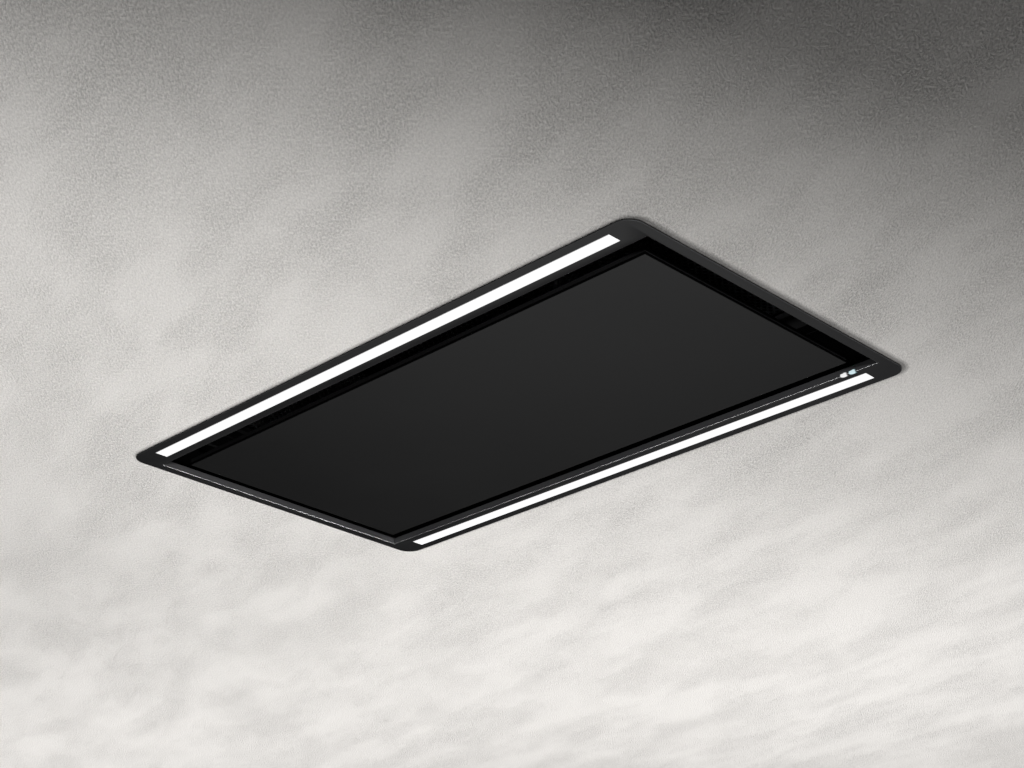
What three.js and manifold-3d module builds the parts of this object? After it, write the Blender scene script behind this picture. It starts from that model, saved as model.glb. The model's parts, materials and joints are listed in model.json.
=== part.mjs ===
// Ceiling range hood: an extractor set into a ceiling, with a slim frame, a flush drop-down panel
// and a light strip along each long side. The air enters by the slot round the panel, rises through
// three filters and leaves by a round collar at one end.
//
// Units are millimetres and +Z is up. z = 0 is the underside of the ceiling and the origin is the
// centre of its cut-out. +X runs along the length, from the duct end to the end with the keys.

import * as THREE from 'three';
import { mergeVertices } from 'three/addons/utils/BufferGeometryUtils.js';
import Module from 'manifold-3d';

const wasm = await Module();
wasm.setup();

// ---------------------------------------------------------------------------------------------
// Driving dimensions
// ---------------------------------------------------------------------------------------------

const FIT = 0.3; // clearance between two pieces that rest on or in each other

// Frame, seal and opening
const FRAME_LENGTH = 1000;
const FRAME_WIDTH = 567;
const FRAME_CORNER_RADIUS = 24;
const FRAME_SHEET = 1.5;
const SEAL_THICKNESS = 1;
const SEAL_WIDTH = 9;
const SEAL_MARGIN = 2;
const FRAME_END_FLANGE = 16; // from the frame's short edge to the opening
const FRAME_SIDE_FLANGE = 49.5; // from the frame's long edge to the opening
const LIP_HEIGHT = 10;

// Drop-down panel
const SLOT_WIDTH = 29;
const FACE_THICKNESS = 4;
const FACE_CHAMFER = 0.8;
const TRAY_SHEET = 1;
const TRAY_HEIGHT = 5.7;
const TRAY_INSET = 0.5;
const TRAY_RIB_WIDTH = 22;
const TRAY_RIB_HEIGHT = 4;
const TRAY_RIB_OFFSET = 90;

// Panel hinges and magnets
const HINGE_SPACING = 600;
const HINGE_SETBACK = 15;
const HINGE_HEIGHT = 25;
const HINGE_PIN_DIAMETER = 6;
const HINGE_PIN_HEAD = 9;
const HINGE_PIN_HEAD_THICKNESS = 1.5;
const HINGE_EYE_RADIUS = 7;
const HINGE_WEB = 4;
const HINGE_EAR = 2;
const HINGE_FOOT_LENGTH = 36;
const HINGE_FOOT_WIDTH = 22;
const LEAF_FOOT_WIDTH = 34;
const MAGNET_SETBACK = 17;
const MAGNET_SPACING = 600;
const MAGNET_LENGTH = 24;
const MAGNET_WIDTH = 14;
const MAGNET_HEIGHT = 10;
const MAGNET_STALK = 2;

// Light strips
const LIGHT_END_MARGIN = 46;
const DIFFUSER_WIDTH = 20.8;
const DIFFUSER_THICKNESS = 3.5;
const PROFILE_WALL = 1.4;
const PROFILE_HEIGHT = 13;
const LIGHT_BOARD_WIDTH = 14;
const LIGHT_BOARD_THICKNESS = 1.6;

// Keys
const KEY_COUNT = 2;
const KEY_WIDTH = 10.4;
const KEY_PITCH = 14;
const KEY_END_DISTANCE = 41.7; // from the opening's end to the middle of the outer key
const KEY_FLANGE_REACH = 5;
const KEY_LIP_REACH = 3.3;
const KEY_PROUD = 0.3;
const KEY_TRAVEL = 1;
const KEY_STEM = 3;
const KEY_STEM_HEIGHT = 3;
const SWITCH_SIZE = 6;
const SWITCH_HEIGHT = 3;
const KEY_BOARD_LENGTH = 34;
const KEY_BOARD_WIDTH = 8;
const KEY_BOARD_THICKNESS = 1.6;
const KEY_POCKET_MARGIN = 4;

// Housing
const HOUSING_HEIGHT = 280;
const SHEET = 1.2;
const RIM = 14;
const HANGER_END_DISTANCE = 105.8;
const HANGER_WIDTH = 40;
const HANGER_LEG = 70;
const HANGER_EAR = 28;
const HANGER_DROP = 50;
const HANGER_SHEET = 2;
const HANGER_SLOT_LENGTH = 20;
const HANGER_SLOT_WIDTH = 9;
const SWAGE_WIDTH = 24;
const SWAGE_RISE = 2.5;
const SWAGE_SLOPE = 3;
const SWAGE_MARGIN = 64; // from a swage's end to the edge of its sheet
const TOP_SWAGE_COUNT = 5;
const TOP_SWAGE_PITCH = 200;
const SIDE_SWAGE_COUNT = 3;
const DUCT_END_SWAGE_COUNT = 1;
const CONTROL_END_SWAGE_COUNT = 2;
const WALL_SWAGE_BASE = 50;
const WALL_SWAGE_PITCH = 80;

// Filters and their deck
const DECK_HEIGHT = 95;
const FILTER_COUNT = 3;
const FILTER_END_MARGIN = 36; // from the opening's end to the nearest filter
const FILTER_SIDE_MARGIN = 30; // from the panel's long edge in to the filters
const FILTER_THICKNESS = 12;
const FILTER_GAP = 4;
const FILTER_HEADROOM = 1;
const FILTER_REST = 14;
const FILTER_CHANNEL = 12;
const FILTER_CHANNEL_SHEET = 1;
const FILTER_PACK_THICKNESS = 5;
const FILTER_PACK_ENGAGEMENT = 8;
const MESH_COLUMNS = 5;
const MESH_ROWS = 9;
const MESH_STRAND = 6;
const LEDGE_ENGAGEMENT = 4;
const LEDGE_SHEET = 1.2;
const STRIP_WIDTH = 9;
const STRIP_THICKNESS = 3;
const HANDLE_SPAN = 80;
const HANDLE_DROP = 14;
const HANDLE_WIRE = 4;

// Blower
const SCROLL_END_DISTANCE = 285.8; // from the duct end's wall to the impeller's axis
const SCROLL_SIDE_GAP = 18.55; // from the left wall to the nearest point of the scroll
const SCROLL_START_RADIUS = 114;
const SCROLL_GROWTH = 76;
const SCROLL_TONGUE_ANGLE = 130;
const SCROLL_OUTLET_REACH = 140;
const SCROLL_HEIGHT = 120;
const SCROLL_STANDOFF = 6;
const SCROLL_BOSS_RADIUS = 8;
const SCROLL_BOSS_ANGLES = [45, 135, 225, 315];
const SCROLL_STEPS = 36;
const MOULD = 2;
const OUTLET_RIM = 5;
const COVER_RIM = 6;
const IMPELLER_RADIUS = 104;
const IMPELLER_INNER_RADIUS = 86;
const IMPELLER_DEPTH = 90;
const IMPELLER_TOP = 16;
const IMPELLER_PLATE = 2;
const IMPELLER_RING = 3;
const IMPELLER_RING_SETBACK = 4;
const BLADE_COUNT = 32;
const BLADE_THICKNESS = 1.2;
const BLADE_LEAD = 12;
const BLADE_TIP_GAP = 0.5;
const BLADE_STEPS = 2;
const BLADE_ROOT = 1; // how far a blade runs into the plate and the ring
const BELL_THROAT_RADIUS = 81;
const BELL_CURVE = 14;
const BELL_COLLAR = 3;
const BELL_STEPS = 3;
const ROTOR_RADIUS = 44;
const ROTOR_WALL = 5;
const ROTOR_DEPTH = 60;
const ROTOR_RIM = 12;
const ROTOR_RIM_THICKNESS = 2;
const ROTOR_HEADROOM = 4;
const MOTOR_SEGMENTS = 24;
const STATOR_GAP = 1.5;
const STATOR_FLANGE_RADIUS = 50;
const STATOR_FLANGE = 3;
const LEAD_HOLE_RADIUS = 9;

// Duct
const DUCT_DIAMETER = 150;
const DUCT_HEADROOM = 3; // from the collar's flange to the rim of the housing's top
const DUCT_WALL = 1.5;
const COLLAR_LENGTH = 55;
const COLLAR_STUB = 12;
const COLLAR_FLANGE = 10;
const COLLAR_FLANGE_THICKNESS = 2;
const COLLAR_BEAD = 1.5;
const COLLAR_BEAD_PLACE = 12;
const DUCT_SEGMENTS = 36;
const FLAP_PLACE = 14; // from the end wall's outer face to the flaps' pin
const FLAP_CLEARANCE = 1.5;
const FLAP_THICKNESS = 1.2;
const FLAP_PIN_RADIUS = 2;
const FLAP_ROD_RADIUS = 2.2;
const FLAP_STUB_RADIUS = 1.5;
const FLAP_STOP_REACH = 4;
const FLAP_STOP_WIDTH = 10;
const FLAP_STOP_THICKNESS = 1.5;
const LOFT_SIDE_STEPS = DUCT_SEGMENTS / 4;
const LOFT_RINGS = 4;

// Electrics
const CONTROL_END_GAP = 30;
const CONTROL_LENGTH = 150;
const CONTROL_WIDTH = 150;
const CONTROL_HEIGHT = 46;
const CONTROL_SIDE_GAP = 50.8;
const CONTROL_SHEET = 1.2;
const CONTROL_BOARD_MARGIN = 10;
const CONTROL_BOARD_DROP = 12;
const CONTROL_BOARD_THICKNESS = 1.6;
const COMPONENT_MARGIN = 10;
const COMPONENT_HEIGHT = 16;
const TRANSFORMER_SIZE = 40;
const RELAY_COUNT = 3;
const RELAY_SIZE = 20;
const RELAY_PITCH = 30;
const DRIVER_LENGTH = 120;
const DRIVER_WIDTH = 50;
const DRIVER_HEIGHT = 28;
const DRIVER_EAR = 12;
const DRIVER_EAR_THICKNESS = 2;
const DRIVER_SIDE_GAP = 120.8;
const GLAND_RADIUS = 8;
const GLAND_FLANGE_RADIUS = 12;
const GLAND_BORE_RADIUS = 4;
const GLAND_LENGTH = 18;
const GLAND_FLANGE = 3;
const GLAND_CHAMFER = 1;
const GLAND_DROP = 55;
const LEAD_DIAMETER = 4;
const LEAD_BEND = 16;
const LEAD_SIDES = 6;
const LEAD_STEPS = 38;
const LEAD_STANDOFF = 5;
const LEAD_PASS_RADIUS = 8;
const LEAD_DROP = 35;

// ---------------------------------------------------------------------------------------------
// Levels and lines that several pieces share
// ---------------------------------------------------------------------------------------------

const frameTop = -SEAL_THICKNESS;
const frameBottom = frameTop - FRAME_SHEET;
const lipTop = frameBottom + LIP_HEIGHT;
const lipX = FRAME_LENGTH / 2 - FRAME_END_FLANGE;
const lipY = FRAME_WIDTH / 2 - FRAME_SIDE_FLANGE;
const wallInX = lipX + FRAME_SHEET + FIT;
const wallInY = lipY + FRAME_SHEET + FIT;
const wallOutX = wallInX + SHEET;
const wallOutY = wallInY + SHEET;
const wallBottom = frameTop + FIT;
const topUnder = HOUSING_HEIGHT - SHEET;
const wallTop = topUnder - FIT;
const panelX = lipX - SLOT_WIDTH;
const panelY = lipY - SLOT_WIDTH;
const trayBottom = frameBottom + FACE_THICKNESS + FIT;
const trayFloor = trayBottom + TRAY_SHEET;
const trayTop = trayBottom + TRAY_HEIGHT;
const hingeY = HINGE_SETBACK - panelY;
const lightX = FRAME_LENGTH / 2 - LIGHT_END_MARGIN;
const lightY = (lipY + FRAME_WIDTH / 2) / 2;
const leadX = lightX + FIT + PROFILE_WALL + 2 * LEAD_DIAMETER;
const leadHeight = HOUSING_HEIGHT - LEAD_DROP;
const hangerX = wallInX - HANGER_END_DISTANCE;
const hangerTop = HOUSING_HEIGHT - HANGER_DROP;
const deckUnder = DECK_HEIGHT - FIT;
const filterTop = DECK_HEIGHT - FILTER_HEADROOM;
const filterBottom = filterTop - FILTER_THICKNESS;
const filterEdge = panelY - FILTER_SIDE_MARGIN;
const filterRun = 2 * (lipX - FILTER_END_MARGIN);
const filterPitch = (filterRun + FILTER_GAP) / FILTER_COUNT;
const filterX = (filterPitch - FILTER_GAP) / 2;
const filterXs = Array.from(
  { length: FILTER_COUNT },
  (_, i) => (i - (FILTER_COUNT - 1) / 2) * filterPitch,
);
const scrollTop = topUnder - FIT - SCROLL_STANDOFF;
const scrollBottom = scrollTop - SCROLL_HEIGHT;
const scrollCeiling = scrollTop - MOULD;
const tongue = THREE.MathUtils.degToRad(SCROLL_TONGUE_ANGLE);
const tongueY = SCROLL_START_RADIUS * Math.sin(tongue);
const scrollEnd = 2.5 * Math.PI; // the spiral's angle where it meets the outlet
const scrollEndRadius = scrollRadius(scrollEnd);
const scrollX = SCROLL_END_DISTANCE - wallInX;
const scrollY = SCROLL_SIDE_GAP + scrollRadius(1.5 * Math.PI) - wallInY;
const scrollOutlet = scrollX - SCROLL_OUTLET_REACH;
const collarRadius = DUCT_DIAMETER / 2;
const collarInner = collarRadius - DUCT_WALL;
const ductY = scrollY + (tongueY + scrollEndRadius) / 2;
const ductHeight = HOUSING_HEIGHT - RIM - DUCT_HEADROOM - COLLAR_FLANGE - collarRadius;
const flapX = -wallOutX - FLAP_PLACE;
const flapAxis = FLAP_PIN_RADIUS + FIT + FLAP_ROD_RADIUS; // from the pin to a flap's own axis
const keyXs = Array.from({ length: KEY_COUNT }, (_, i) => lipX - KEY_END_DISTANCE - i * KEY_PITCH);
const controlX = wallInX - CONTROL_END_GAP - CONTROL_LENGTH / 2;
const controlY = CONTROL_SIDE_GAP + CONTROL_WIDTH / 2 - wallInY;
const driverY = wallInY - DRIVER_SIDE_GAP - DRIVER_WIDTH / 2;
const glandHeight = HOUSING_HEIGHT - GLAND_DROP;

// The radius of the scroll's outer face, which grows steadily from the tongue to the outlet.
function scrollRadius(angle) {
  return SCROLL_START_RADIUS + SCROLL_GROWTH * (angle - tongue) / (scrollEnd - tongue);
}

// ---------------------------------------------------------------------------------------------
// Materials
// ---------------------------------------------------------------------------------------------

function material(color, roughness, metalness) {
  return new THREE.MeshStandardMaterial({ color, roughness, metalness, flatShading: true });
}

const coatedSteel = material(0x232325, 0.5, 0.1);
const darkGlass = material(0x1c1d1f, 0.32, 0);
const galvanised = material(0xa9adb0, 0.42, 0.85);
const stainless = material(0xc2c4c6, 0.3, 0.95);
const aluminium = material(0xcfd1d3, 0.38, 0.9);
const opal = material(0xffffff, 0.4, 0);
const whiteKey = material(0xf4f8ff, 0.35, 0);
const blueKey = material(0x9fe4ef, 0.35, 0);
const blackMould = material(0x1a1b1c, 0.6, 0);
const greyMould = material(0x5c6064, 0.55, 0);
const circuitBoard = material(0x1f5a3a, 0.5, 0.1);
const foam = material(0x2b2b2b, 0.95, 0);
const magnetBlack = material(0x333436, 0.5, 0.4);
const leadSheath = material(0x8d8f91, 0.6, 0);

// ---------------------------------------------------------------------------------------------
// Geometry helpers
// ---------------------------------------------------------------------------------------------

// Keeps only merged positions, so that the mesh is one closed body.
function weld(geometry) {
  const bare = geometry.clone();
  bare.deleteAttribute('normal');
  bare.deleteAttribute('uv');
  return mergeVertices(bare, 1e-4);
}

function solidOf(geometry) {
  const welded = weld(geometry);
  const vertProperties = new Float32Array(welded.attributes.position.array);
  const triVerts = new Uint32Array(welded.index.array);
  return new wasm.Manifold(new wasm.Mesh({ numProp: 3, vertProperties, triVerts }));
}

function geometryOf(solid) {
  const mesh = solid.getMesh();
  const geometry = new THREE.BufferGeometry();
  geometry.setAttribute('position', new THREE.BufferAttribute(mesh.vertProperties, 3));
  geometry.setIndex(new THREE.BufferAttribute(mesh.triVerts, 1));
  geometry.computeVertexNormals();
  return geometry;
}

// Joins the first list of geometries and cuts the second from it.
function build(joined, cut = []) {
  let solid = solidOf(joined[0]);
  for (const geometry of joined.slice(1)) solid = solid.add(solidOf(geometry));
  for (const geometry of cut) solid = solid.subtract(solidOf(geometry));
  return geometryOf(solid);
}

// A block between two values on each axis, given in either order.
function block(x, y, z) {
  const size = [x, y, z].map(([a, b]) => Math.abs(b - a));
  const middle = [x, y, z].map(([a, b]) => (a + b) / 2);
  return new THREE.BoxGeometry(...size).translate(...middle);
}

// A folded tray: the block's outline, one sheet thick, open below or above.
function tray(x, y, z, sheet, open) {
  const inner = ([a, b]) => [Math.min(a, b) + sheet, Math.max(a, b) - sheet];
  const hollow = open === 'below' ? [z[0] - 1, z[1] - sheet] : [z[0] + sheet, z[1] + 1];
  return build([block(x, y, z)], [block(inner(x), inner(y), hollow)]);
}

function rectanglePath(x0, x1, y0, y1) {
  return new THREE.Path([
    new THREE.Vector2(x0, y0),
    new THREE.Vector2(x1, y0),
    new THREE.Vector2(x1, y1),
    new THREE.Vector2(x0, y1),
  ]);
}

function rectangleShape(x0, x1, y0, y1) {
  return new THREE.Shape(rectanglePath(x0, x1, y0, y1).getPoints());
}

function roundedRectangle(length, width, radius) {
  const x = length / 2 - radius;
  const y = width / 2 - radius;
  const shape = new THREE.Shape();
  shape.absarc(x, y, radius, 0, Math.PI / 2);
  shape.absarc(-x, y, radius, Math.PI / 2, Math.PI);
  shape.absarc(-x, -y, radius, Math.PI, 1.5 * Math.PI);
  shape.absarc(x, -y, radius, 1.5 * Math.PI, 2 * Math.PI);
  return shape;
}

function extrude(shape, z0, z1, curveSegments = 6) {
  const options = { depth: z1 - z0, bevelEnabled: false, curveSegments };
  return new THREE.ExtrudeGeometry(shape, options).translate(0, 0, z0);
}

// Turns a shape drawn in Y and Z into a solid between two values of X.
const drawnInYZ = new THREE.Matrix4().makeBasis(
  new THREE.Vector3(0, 1, 0),
  new THREE.Vector3(0, 0, 1),
  new THREE.Vector3(1, 0, 0),
);

function extrudeAlongX(shape, x0, x1, curveSegments = 6) {
  return extrude(shape, x0, x1, curveSegments).applyMatrix4(drawnInYZ);
}

// Revolves a profile of [radius, height] pairs about +Z. The profile runs anticlockwise.
function revolve(profile, segments = 32) {
  const points = profile.map(([radius, height]) => new THREE.Vector2(radius, height));
  return new THREE.LatheGeometry(points, segments).rotateX(Math.PI / 2);
}

function ring(innerRadius, outerRadius, z0, z1, segments = 32) {
  const profile = [[innerRadius, z0], [outerRadius, z0], [outerRadius, z1], [innerRadius, z1]];
  return revolve([...profile, profile[0]], segments);
}

function disc(radius, z0, z1, segments = 24) {
  return revolve([[0, z0], [radius, z0], [radius, z1], [0, z1]], segments);
}

// A strip pressed up out of a sheet: a bar on z = 0 whose four sides lean in.
function pressed(length, width, rise) {
  const bar = new THREE.BoxGeometry(length, width, rise).translate(0, 0, rise / 2);
  const position = bar.attributes.position;
  for (let i = 0; i < position.count; i += 1) {
    if (position.getZ(i) > rise / 2) {
      position.setX(i, position.getX(i) - Math.sign(position.getX(i)) * SWAGE_SLOPE);
      position.setY(i, position.getY(i) - Math.sign(position.getY(i)) * SWAGE_SLOPE);
    }
  }
  return bar;
}

// The swage's outer face is added to the sheet and its hollow, one sheet lower, is cut from it.
function swage(length) {
  const overlap = SHEET / 2;
  const outer = pressed(length, SWAGE_WIDTH, SWAGE_RISE + overlap).translate(0, 0, -overlap);
  const hollow = pressed(length - 2 * SHEET, SWAGE_WIDTH - 2 * SHEET, SWAGE_RISE + overlap);
  return { outer, hollow: hollow.translate(0, 0, -SHEET - overlap) };
}

// These turn a shape that stands up along +Z so that it points along +X or -X.
const upToPlusX = new THREE.Matrix4().makeRotationY(Math.PI / 2);
const upToMinusX = new THREE.Matrix4().makeRotationY(-Math.PI / 2);

// A round tube along straight runs from point to point, with each corner rounded.
function lead(route, diameter, bend) {
  const points = route.map((p) => new THREE.Vector3(...p));
  const path = new THREE.CurvePath();
  let from = points[0];
  for (let i = 1; i < points.length - 1; i += 1) {
    const corner = points[i];
    const reach = Math.min(bend, corner.distanceTo(from), corner.distanceTo(points[i + 1]) / 2);
    const before = corner.clone().lerp(from, reach / corner.distanceTo(from));
    const after = corner.clone().lerp(points[i + 1], reach / corner.distanceTo(points[i + 1]));
    if (before.distanceTo(from) > diameter / 8) path.add(new THREE.LineCurve3(from, before));
    path.add(new THREE.QuadraticBezierCurve3(before, corner, after));
    from = after;
  }
  path.add(new THREE.LineCurve3(from, points[points.length - 1]));
  const section = new THREE.Shape();
  section.absarc(0, 0, diameter / 2, 0, 2 * Math.PI);
  const steps = Math.min(LEAD_STEPS, Math.ceil(path.getLength() / (2 * diameter)));
  const options = { steps, extrudePath: path, curveSegments: LEAD_SIDES / 2, bevelEnabled: false };
  return new THREE.ExtrudeGeometry(section, options);
}

const hood = new THREE.Group();

function add(name, geometry, surface, position = [0, 0, 0]) {
  const mesh = new THREE.Mesh(weld(geometry), surface);
  mesh.name = name;
  mesh.position.set(...position);
  hood.add(mesh);
}

// ---------------------------------------------------------------------------------------------
// Frame and seal
// ---------------------------------------------------------------------------------------------

function keyNotch(x) {
  const half = KEY_WIDTH / 2 + FIT;
  const top = frameBottom + KEY_LIP_REACH + KEY_TRAVEL + FIT;
  return block(
    [x - half, x + half],
    [lipY - FRAME_SHEET, lipY + KEY_FLANGE_REACH + FIT],
    [frameBottom - 1, top],
  );
}

function trimFrame() {
  const flange = roundedRectangle(FRAME_LENGTH, FRAME_WIDTH, FRAME_CORNER_RADIUS);
  flange.holes.push(rectanglePath(-lipX, lipX, -lipY, lipY));
  const slotX = lightX + FIT;
  const slotHalf = DIFFUSER_WIDTH / 2 + FIT;
  for (const side of [-1, 1]) {
    const middle = side * lightY;
    flange.holes.push(rectanglePath(-slotX, slotX, middle - slotHalf, middle + slotHalf));
  }
  const outX = lipX + FRAME_SHEET;
  const outY = lipY + FRAME_SHEET;
  const lip = rectangleShape(-outX, outX, -outY, outY);
  lip.holes.push(rectanglePath(-lipX, lipX, -lipY, lipY));
  return build(
    [extrude(flange, frameBottom, frameTop, 8), extrude(lip, frameBottom, lipTop)],
    keyXs.map(keyNotch),
  );
}

function ceilingSeal() {
  const length = FRAME_LENGTH - 2 * SEAL_MARGIN;
  const width = FRAME_WIDTH - 2 * SEAL_MARGIN;
  const shape = roundedRectangle(length, width, FRAME_CORNER_RADIUS - SEAL_MARGIN);
  const x = length / 2 - SEAL_WIDTH;
  const y = width / 2 - SEAL_WIDTH;
  shape.holes.push(rectanglePath(-x, x, -y, y));
  return extrude(shape, frameTop + FIT, 0, 4);
}

add('trim_frame', trimFrame(), coatedSteel);
add('ceiling_seal', ceilingSeal(), foam);

// ---------------------------------------------------------------------------------------------
// Light strips
// ---------------------------------------------------------------------------------------------

function lightProfile() {
  const half = DIFFUSER_WIDTH / 2 + FIT + PROFILE_WALL;
  const inner = half - PROFILE_WALL;
  const bottom = frameTop + FIT;
  const top = bottom + PROFILE_HEIGHT;
  const x = lightX + FIT + PROFILE_WALL;
  const inX = x - PROFILE_WALL;
  const hollow = block([-inX, inX], [-inner, inner], [bottom - 1, top - PROFILE_WALL]);
  return build([block([-x, x], [-half, half], [bottom, top])], [hollow]);
}

function lightBoard() {
  const top = frameTop + FIT + PROFILE_HEIGHT - PROFILE_WALL - FIT;
  const half = LIGHT_BOARD_WIDTH / 2;
  return block([-lightX, lightX], [-half, half], [top - LIGHT_BOARD_THICKNESS, top]);
}

function diffuser() {
  const half = DIFFUSER_WIDTH / 2;
  return block([-lightX, lightX], [-half, half], [frameBottom, frameBottom + DIFFUSER_THICKNESS]);
}

for (const [side, name] of [[-1, 'left'], [1, 'right']]) {
  add(`light_profile_${name}`, lightProfile(), aluminium, [0, side * lightY, 0]);
  add(`light_board_${name}`, lightBoard(), circuitBoard, [0, side * lightY, 0]);
  add(`light_diffuser_${name}`, diffuser(), opal, [0, side * lightY, 0]);
}

// ---------------------------------------------------------------------------------------------
// Keys
// ---------------------------------------------------------------------------------------------

// The cap wraps the fold of the frame; the stem behind the lip reaches the switch.
function key() {
  const half = KEY_WIDTH / 2;
  const halfStem = KEY_STEM / 2;
  const back = lipY + KEY_FLANGE_REACH;
  const capTop = frameBottom + KEY_LIP_REACH;
  const cap = block([-half, half], [lipY - KEY_PROUD, back], [frameBottom - KEY_PROUD, capTop]);
  const stemZ = [capTop - 1, capTop + KEY_STEM_HEIGHT];
  const stem = block([-halfStem, halfStem], [back - KEY_STEM, back], stemZ);
  return build([cap, stem]);
}

const switchBottom = frameBottom + KEY_LIP_REACH + KEY_STEM_HEIGHT + KEY_TRAVEL + FIT;
const keyBoardBottom = switchBottom + SWITCH_HEIGHT;
const keyMiddle = (keyXs[0] + keyXs[KEY_COUNT - 1]) / 2;

function keyBoard() {
  const y0 = wallInY + FIT;
  const board = block(
    [keyMiddle - KEY_BOARD_LENGTH / 2, keyMiddle + KEY_BOARD_LENGTH / 2],
    [y0, y0 + KEY_BOARD_WIDTH],
    [keyBoardBottom, keyBoardBottom + KEY_BOARD_THICKNESS],
  );
  const switches = keyXs.map((x) => block(
    [x - SWITCH_SIZE / 2, x + SWITCH_SIZE / 2],
    [y0, y0 + SWITCH_SIZE],
    [switchBottom, keyBoardBottom + KEY_BOARD_THICKNESS / 2],
  ));
  return build([board, ...switches]);
}

add('light_key', key(), whiteKey, [keyXs[1], 0, 0]);
add('power_key', key(), blueKey, [keyXs[0], 0, 0]);
add('key_board', keyBoard(), circuitBoard);

// ---------------------------------------------------------------------------------------------
// Housing
// ---------------------------------------------------------------------------------------------

function crossHoleY(x, z, radius, side) {
  const hole = disc(radius, -RIM, RIM, 16).rotateX(Math.PI / 2);
  return hole.translate(x, side * wallInY, z);
}

function sideWall(side) {
  const endX = wallInX - FIT;
  const web = block([-endX, endX], [side * wallInY, side * wallOutY], [wallBottom, wallTop]);
  const rimY = [side * (wallInY - RIM), side * wallOutY];
  const topRim = block([-endX, endX], rimY, [wallTop - SHEET, wallTop]);
  const flangeZ = [lipTop + RIM, wallTop];
  const flanges = [-1, 1].map((end) => block([end * (endX - SHEET), end * endX], rimY, flangeZ));
  const length = 2 * (hangerX - SWAGE_MARGIN);
  const turn = (shape) => shape.rotateX(-side * Math.PI / 2);
  const swages = swageRow(SIDE_SWAGE_COUNT, length, turn, [0, side * wallOutY]);
  const cuts = [crossHoleY(leadX, leadHeight, LEAD_PASS_RADIUS, side), ...swages.hollows];
  if (side > 0) cuts.push(keyPocket());
  return build([web, topRim, ...flanges, ...swages.outers], cuts);
}

// Level swages one above the other on a wall: "turn" stands them up, x and y are its outer face.
function swageRow(count, length, turn, [x, y]) {
  const outers = [];
  const hollows = [];
  for (let i = 0; i < count; i += 1) {
    const z = WALL_SWAGE_BASE + i * WALL_SWAGE_PITCH;
    const { outer, hollow } = swage(length);
    outers.push(turn(outer).translate(x, y, z));
    hollows.push(turn(hollow).translate(x, y, z));
  }
  return { outers, hollows };
}

// The lower edge of the side wall stands clear of the keys and their board.
function keyPocket() {
  const half = KEY_BOARD_LENGTH / 2 + KEY_POCKET_MARGIN;
  const top = keyBoardBottom + KEY_BOARD_THICKNESS + KEY_POCKET_MARGIN;
  return block([keyMiddle - half, keyMiddle + half], [wallInY - 1, wallOutY + 1], [wallBottom - 1, top]);
}

function endWall(side, swageCount, hole) {
  const web = block([side * wallInX, side * wallOutX], [-wallOutY, wallOutY], [wallBottom, wallTop]);
  const rimY = wallInY - RIM - FIT;
  const rimX = [side * (wallInX - RIM), side * wallOutX];
  const rim = block(rimX, [-rimY, rimY], [wallTop - SHEET, wallTop]);
  const length = 2 * (wallOutY - SWAGE_MARGIN);
  const turn = (shape) => shape.rotateZ(Math.PI / 2).applyMatrix4(side > 0 ? upToPlusX : upToMinusX);
  const swages = swageRow(swageCount, length, turn, [side * wallOutX, 0]);
  return build([web, rim, ...swages.outers], [hole, ...swages.hollows]);
}

function ductEnd() {
  const hole = disc(collarRadius + FIT, -RIM, RIM, DUCT_SEGMENTS).applyMatrix4(upToMinusX);
  return endWall(-1, DUCT_END_SWAGE_COUNT, hole.translate(-wallInX, ductY, ductHeight));
}

function controlEnd() {
  const hole = disc(GLAND_RADIUS + FIT, -RIM / 2, RIM / 2, 16).applyMatrix4(upToPlusX);
  return endWall(1, CONTROL_END_SWAGE_COUNT, hole.translate(wallInX, controlY, glandHeight));
}

function housingTop() {
  const x = wallOutX + FIT + SHEET;
  const y = wallOutY + FIT + SHEET;
  const top = tray([-x, x], [-y, y], [HOUSING_HEIGHT - RIM, HOUSING_HEIGHT], SHEET, 'below');
  const outers = [];
  const hollows = [];
  for (let i = 0; i < TOP_SWAGE_COUNT; i += 1) {
    const place = (i - (TOP_SWAGE_COUNT - 1) / 2) * TOP_SWAGE_PITCH;
    const { outer, hollow } = swage(2 * (y - SWAGE_MARGIN));
    outers.push(outer.rotateZ(Math.PI / 2).translate(place, 0, HOUSING_HEIGHT));
    hollows.push(hollow.rotateZ(Math.PI / 2).translate(place, 0, HOUSING_HEIGHT));
  }
  return build([top, ...outers], hollows);
}

function hanger(side) {
  const x = [-HANGER_WIDTH / 2, HANGER_WIDTH / 2];
  const inner = wallOutY + FIT;
  const legY = [side * inner, side * (inner + HANGER_SHEET)];
  const leg = block(x, legY, [hangerTop - HANGER_LEG, hangerTop]);
  const earY = [side * inner, side * (inner + HANGER_EAR)];
  const ear = block(x, earY, [hangerTop - HANGER_SHEET, hangerTop]);
  const slotY = side * (inner + HANGER_EAR / 2 + HANGER_SHEET / 2);
  const slot = block(
    [-HANGER_SLOT_LENGTH / 2, HANGER_SLOT_LENGTH / 2],
    [slotY - HANGER_SLOT_WIDTH / 2, slotY + HANGER_SLOT_WIDTH / 2],
    [hangerTop - 2 * HANGER_SHEET, hangerTop + 1],
  );
  return build([leg, ear], [slot]);
}

add('housing_top', housingTop(), galvanised);
add('side_wall_left', sideWall(-1), galvanised);
add('side_wall_right', sideWall(1), galvanised);
add('end_wall_duct', ductEnd(), galvanised);
add('end_wall_control', controlEnd(), galvanised);
for (const [side, sideName] of [[-1, 'left'], [1, 'right']]) {
  for (const [end, endName] of [[-1, 'duct'], [1, 'control']]) {
    add(`hanger_${sideName}_${endName}`, hanger(side), galvanised, [end * hangerX, 0, 0]);
  }
}

// ---------------------------------------------------------------------------------------------
// Filter deck and filters
// ---------------------------------------------------------------------------------------------

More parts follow.
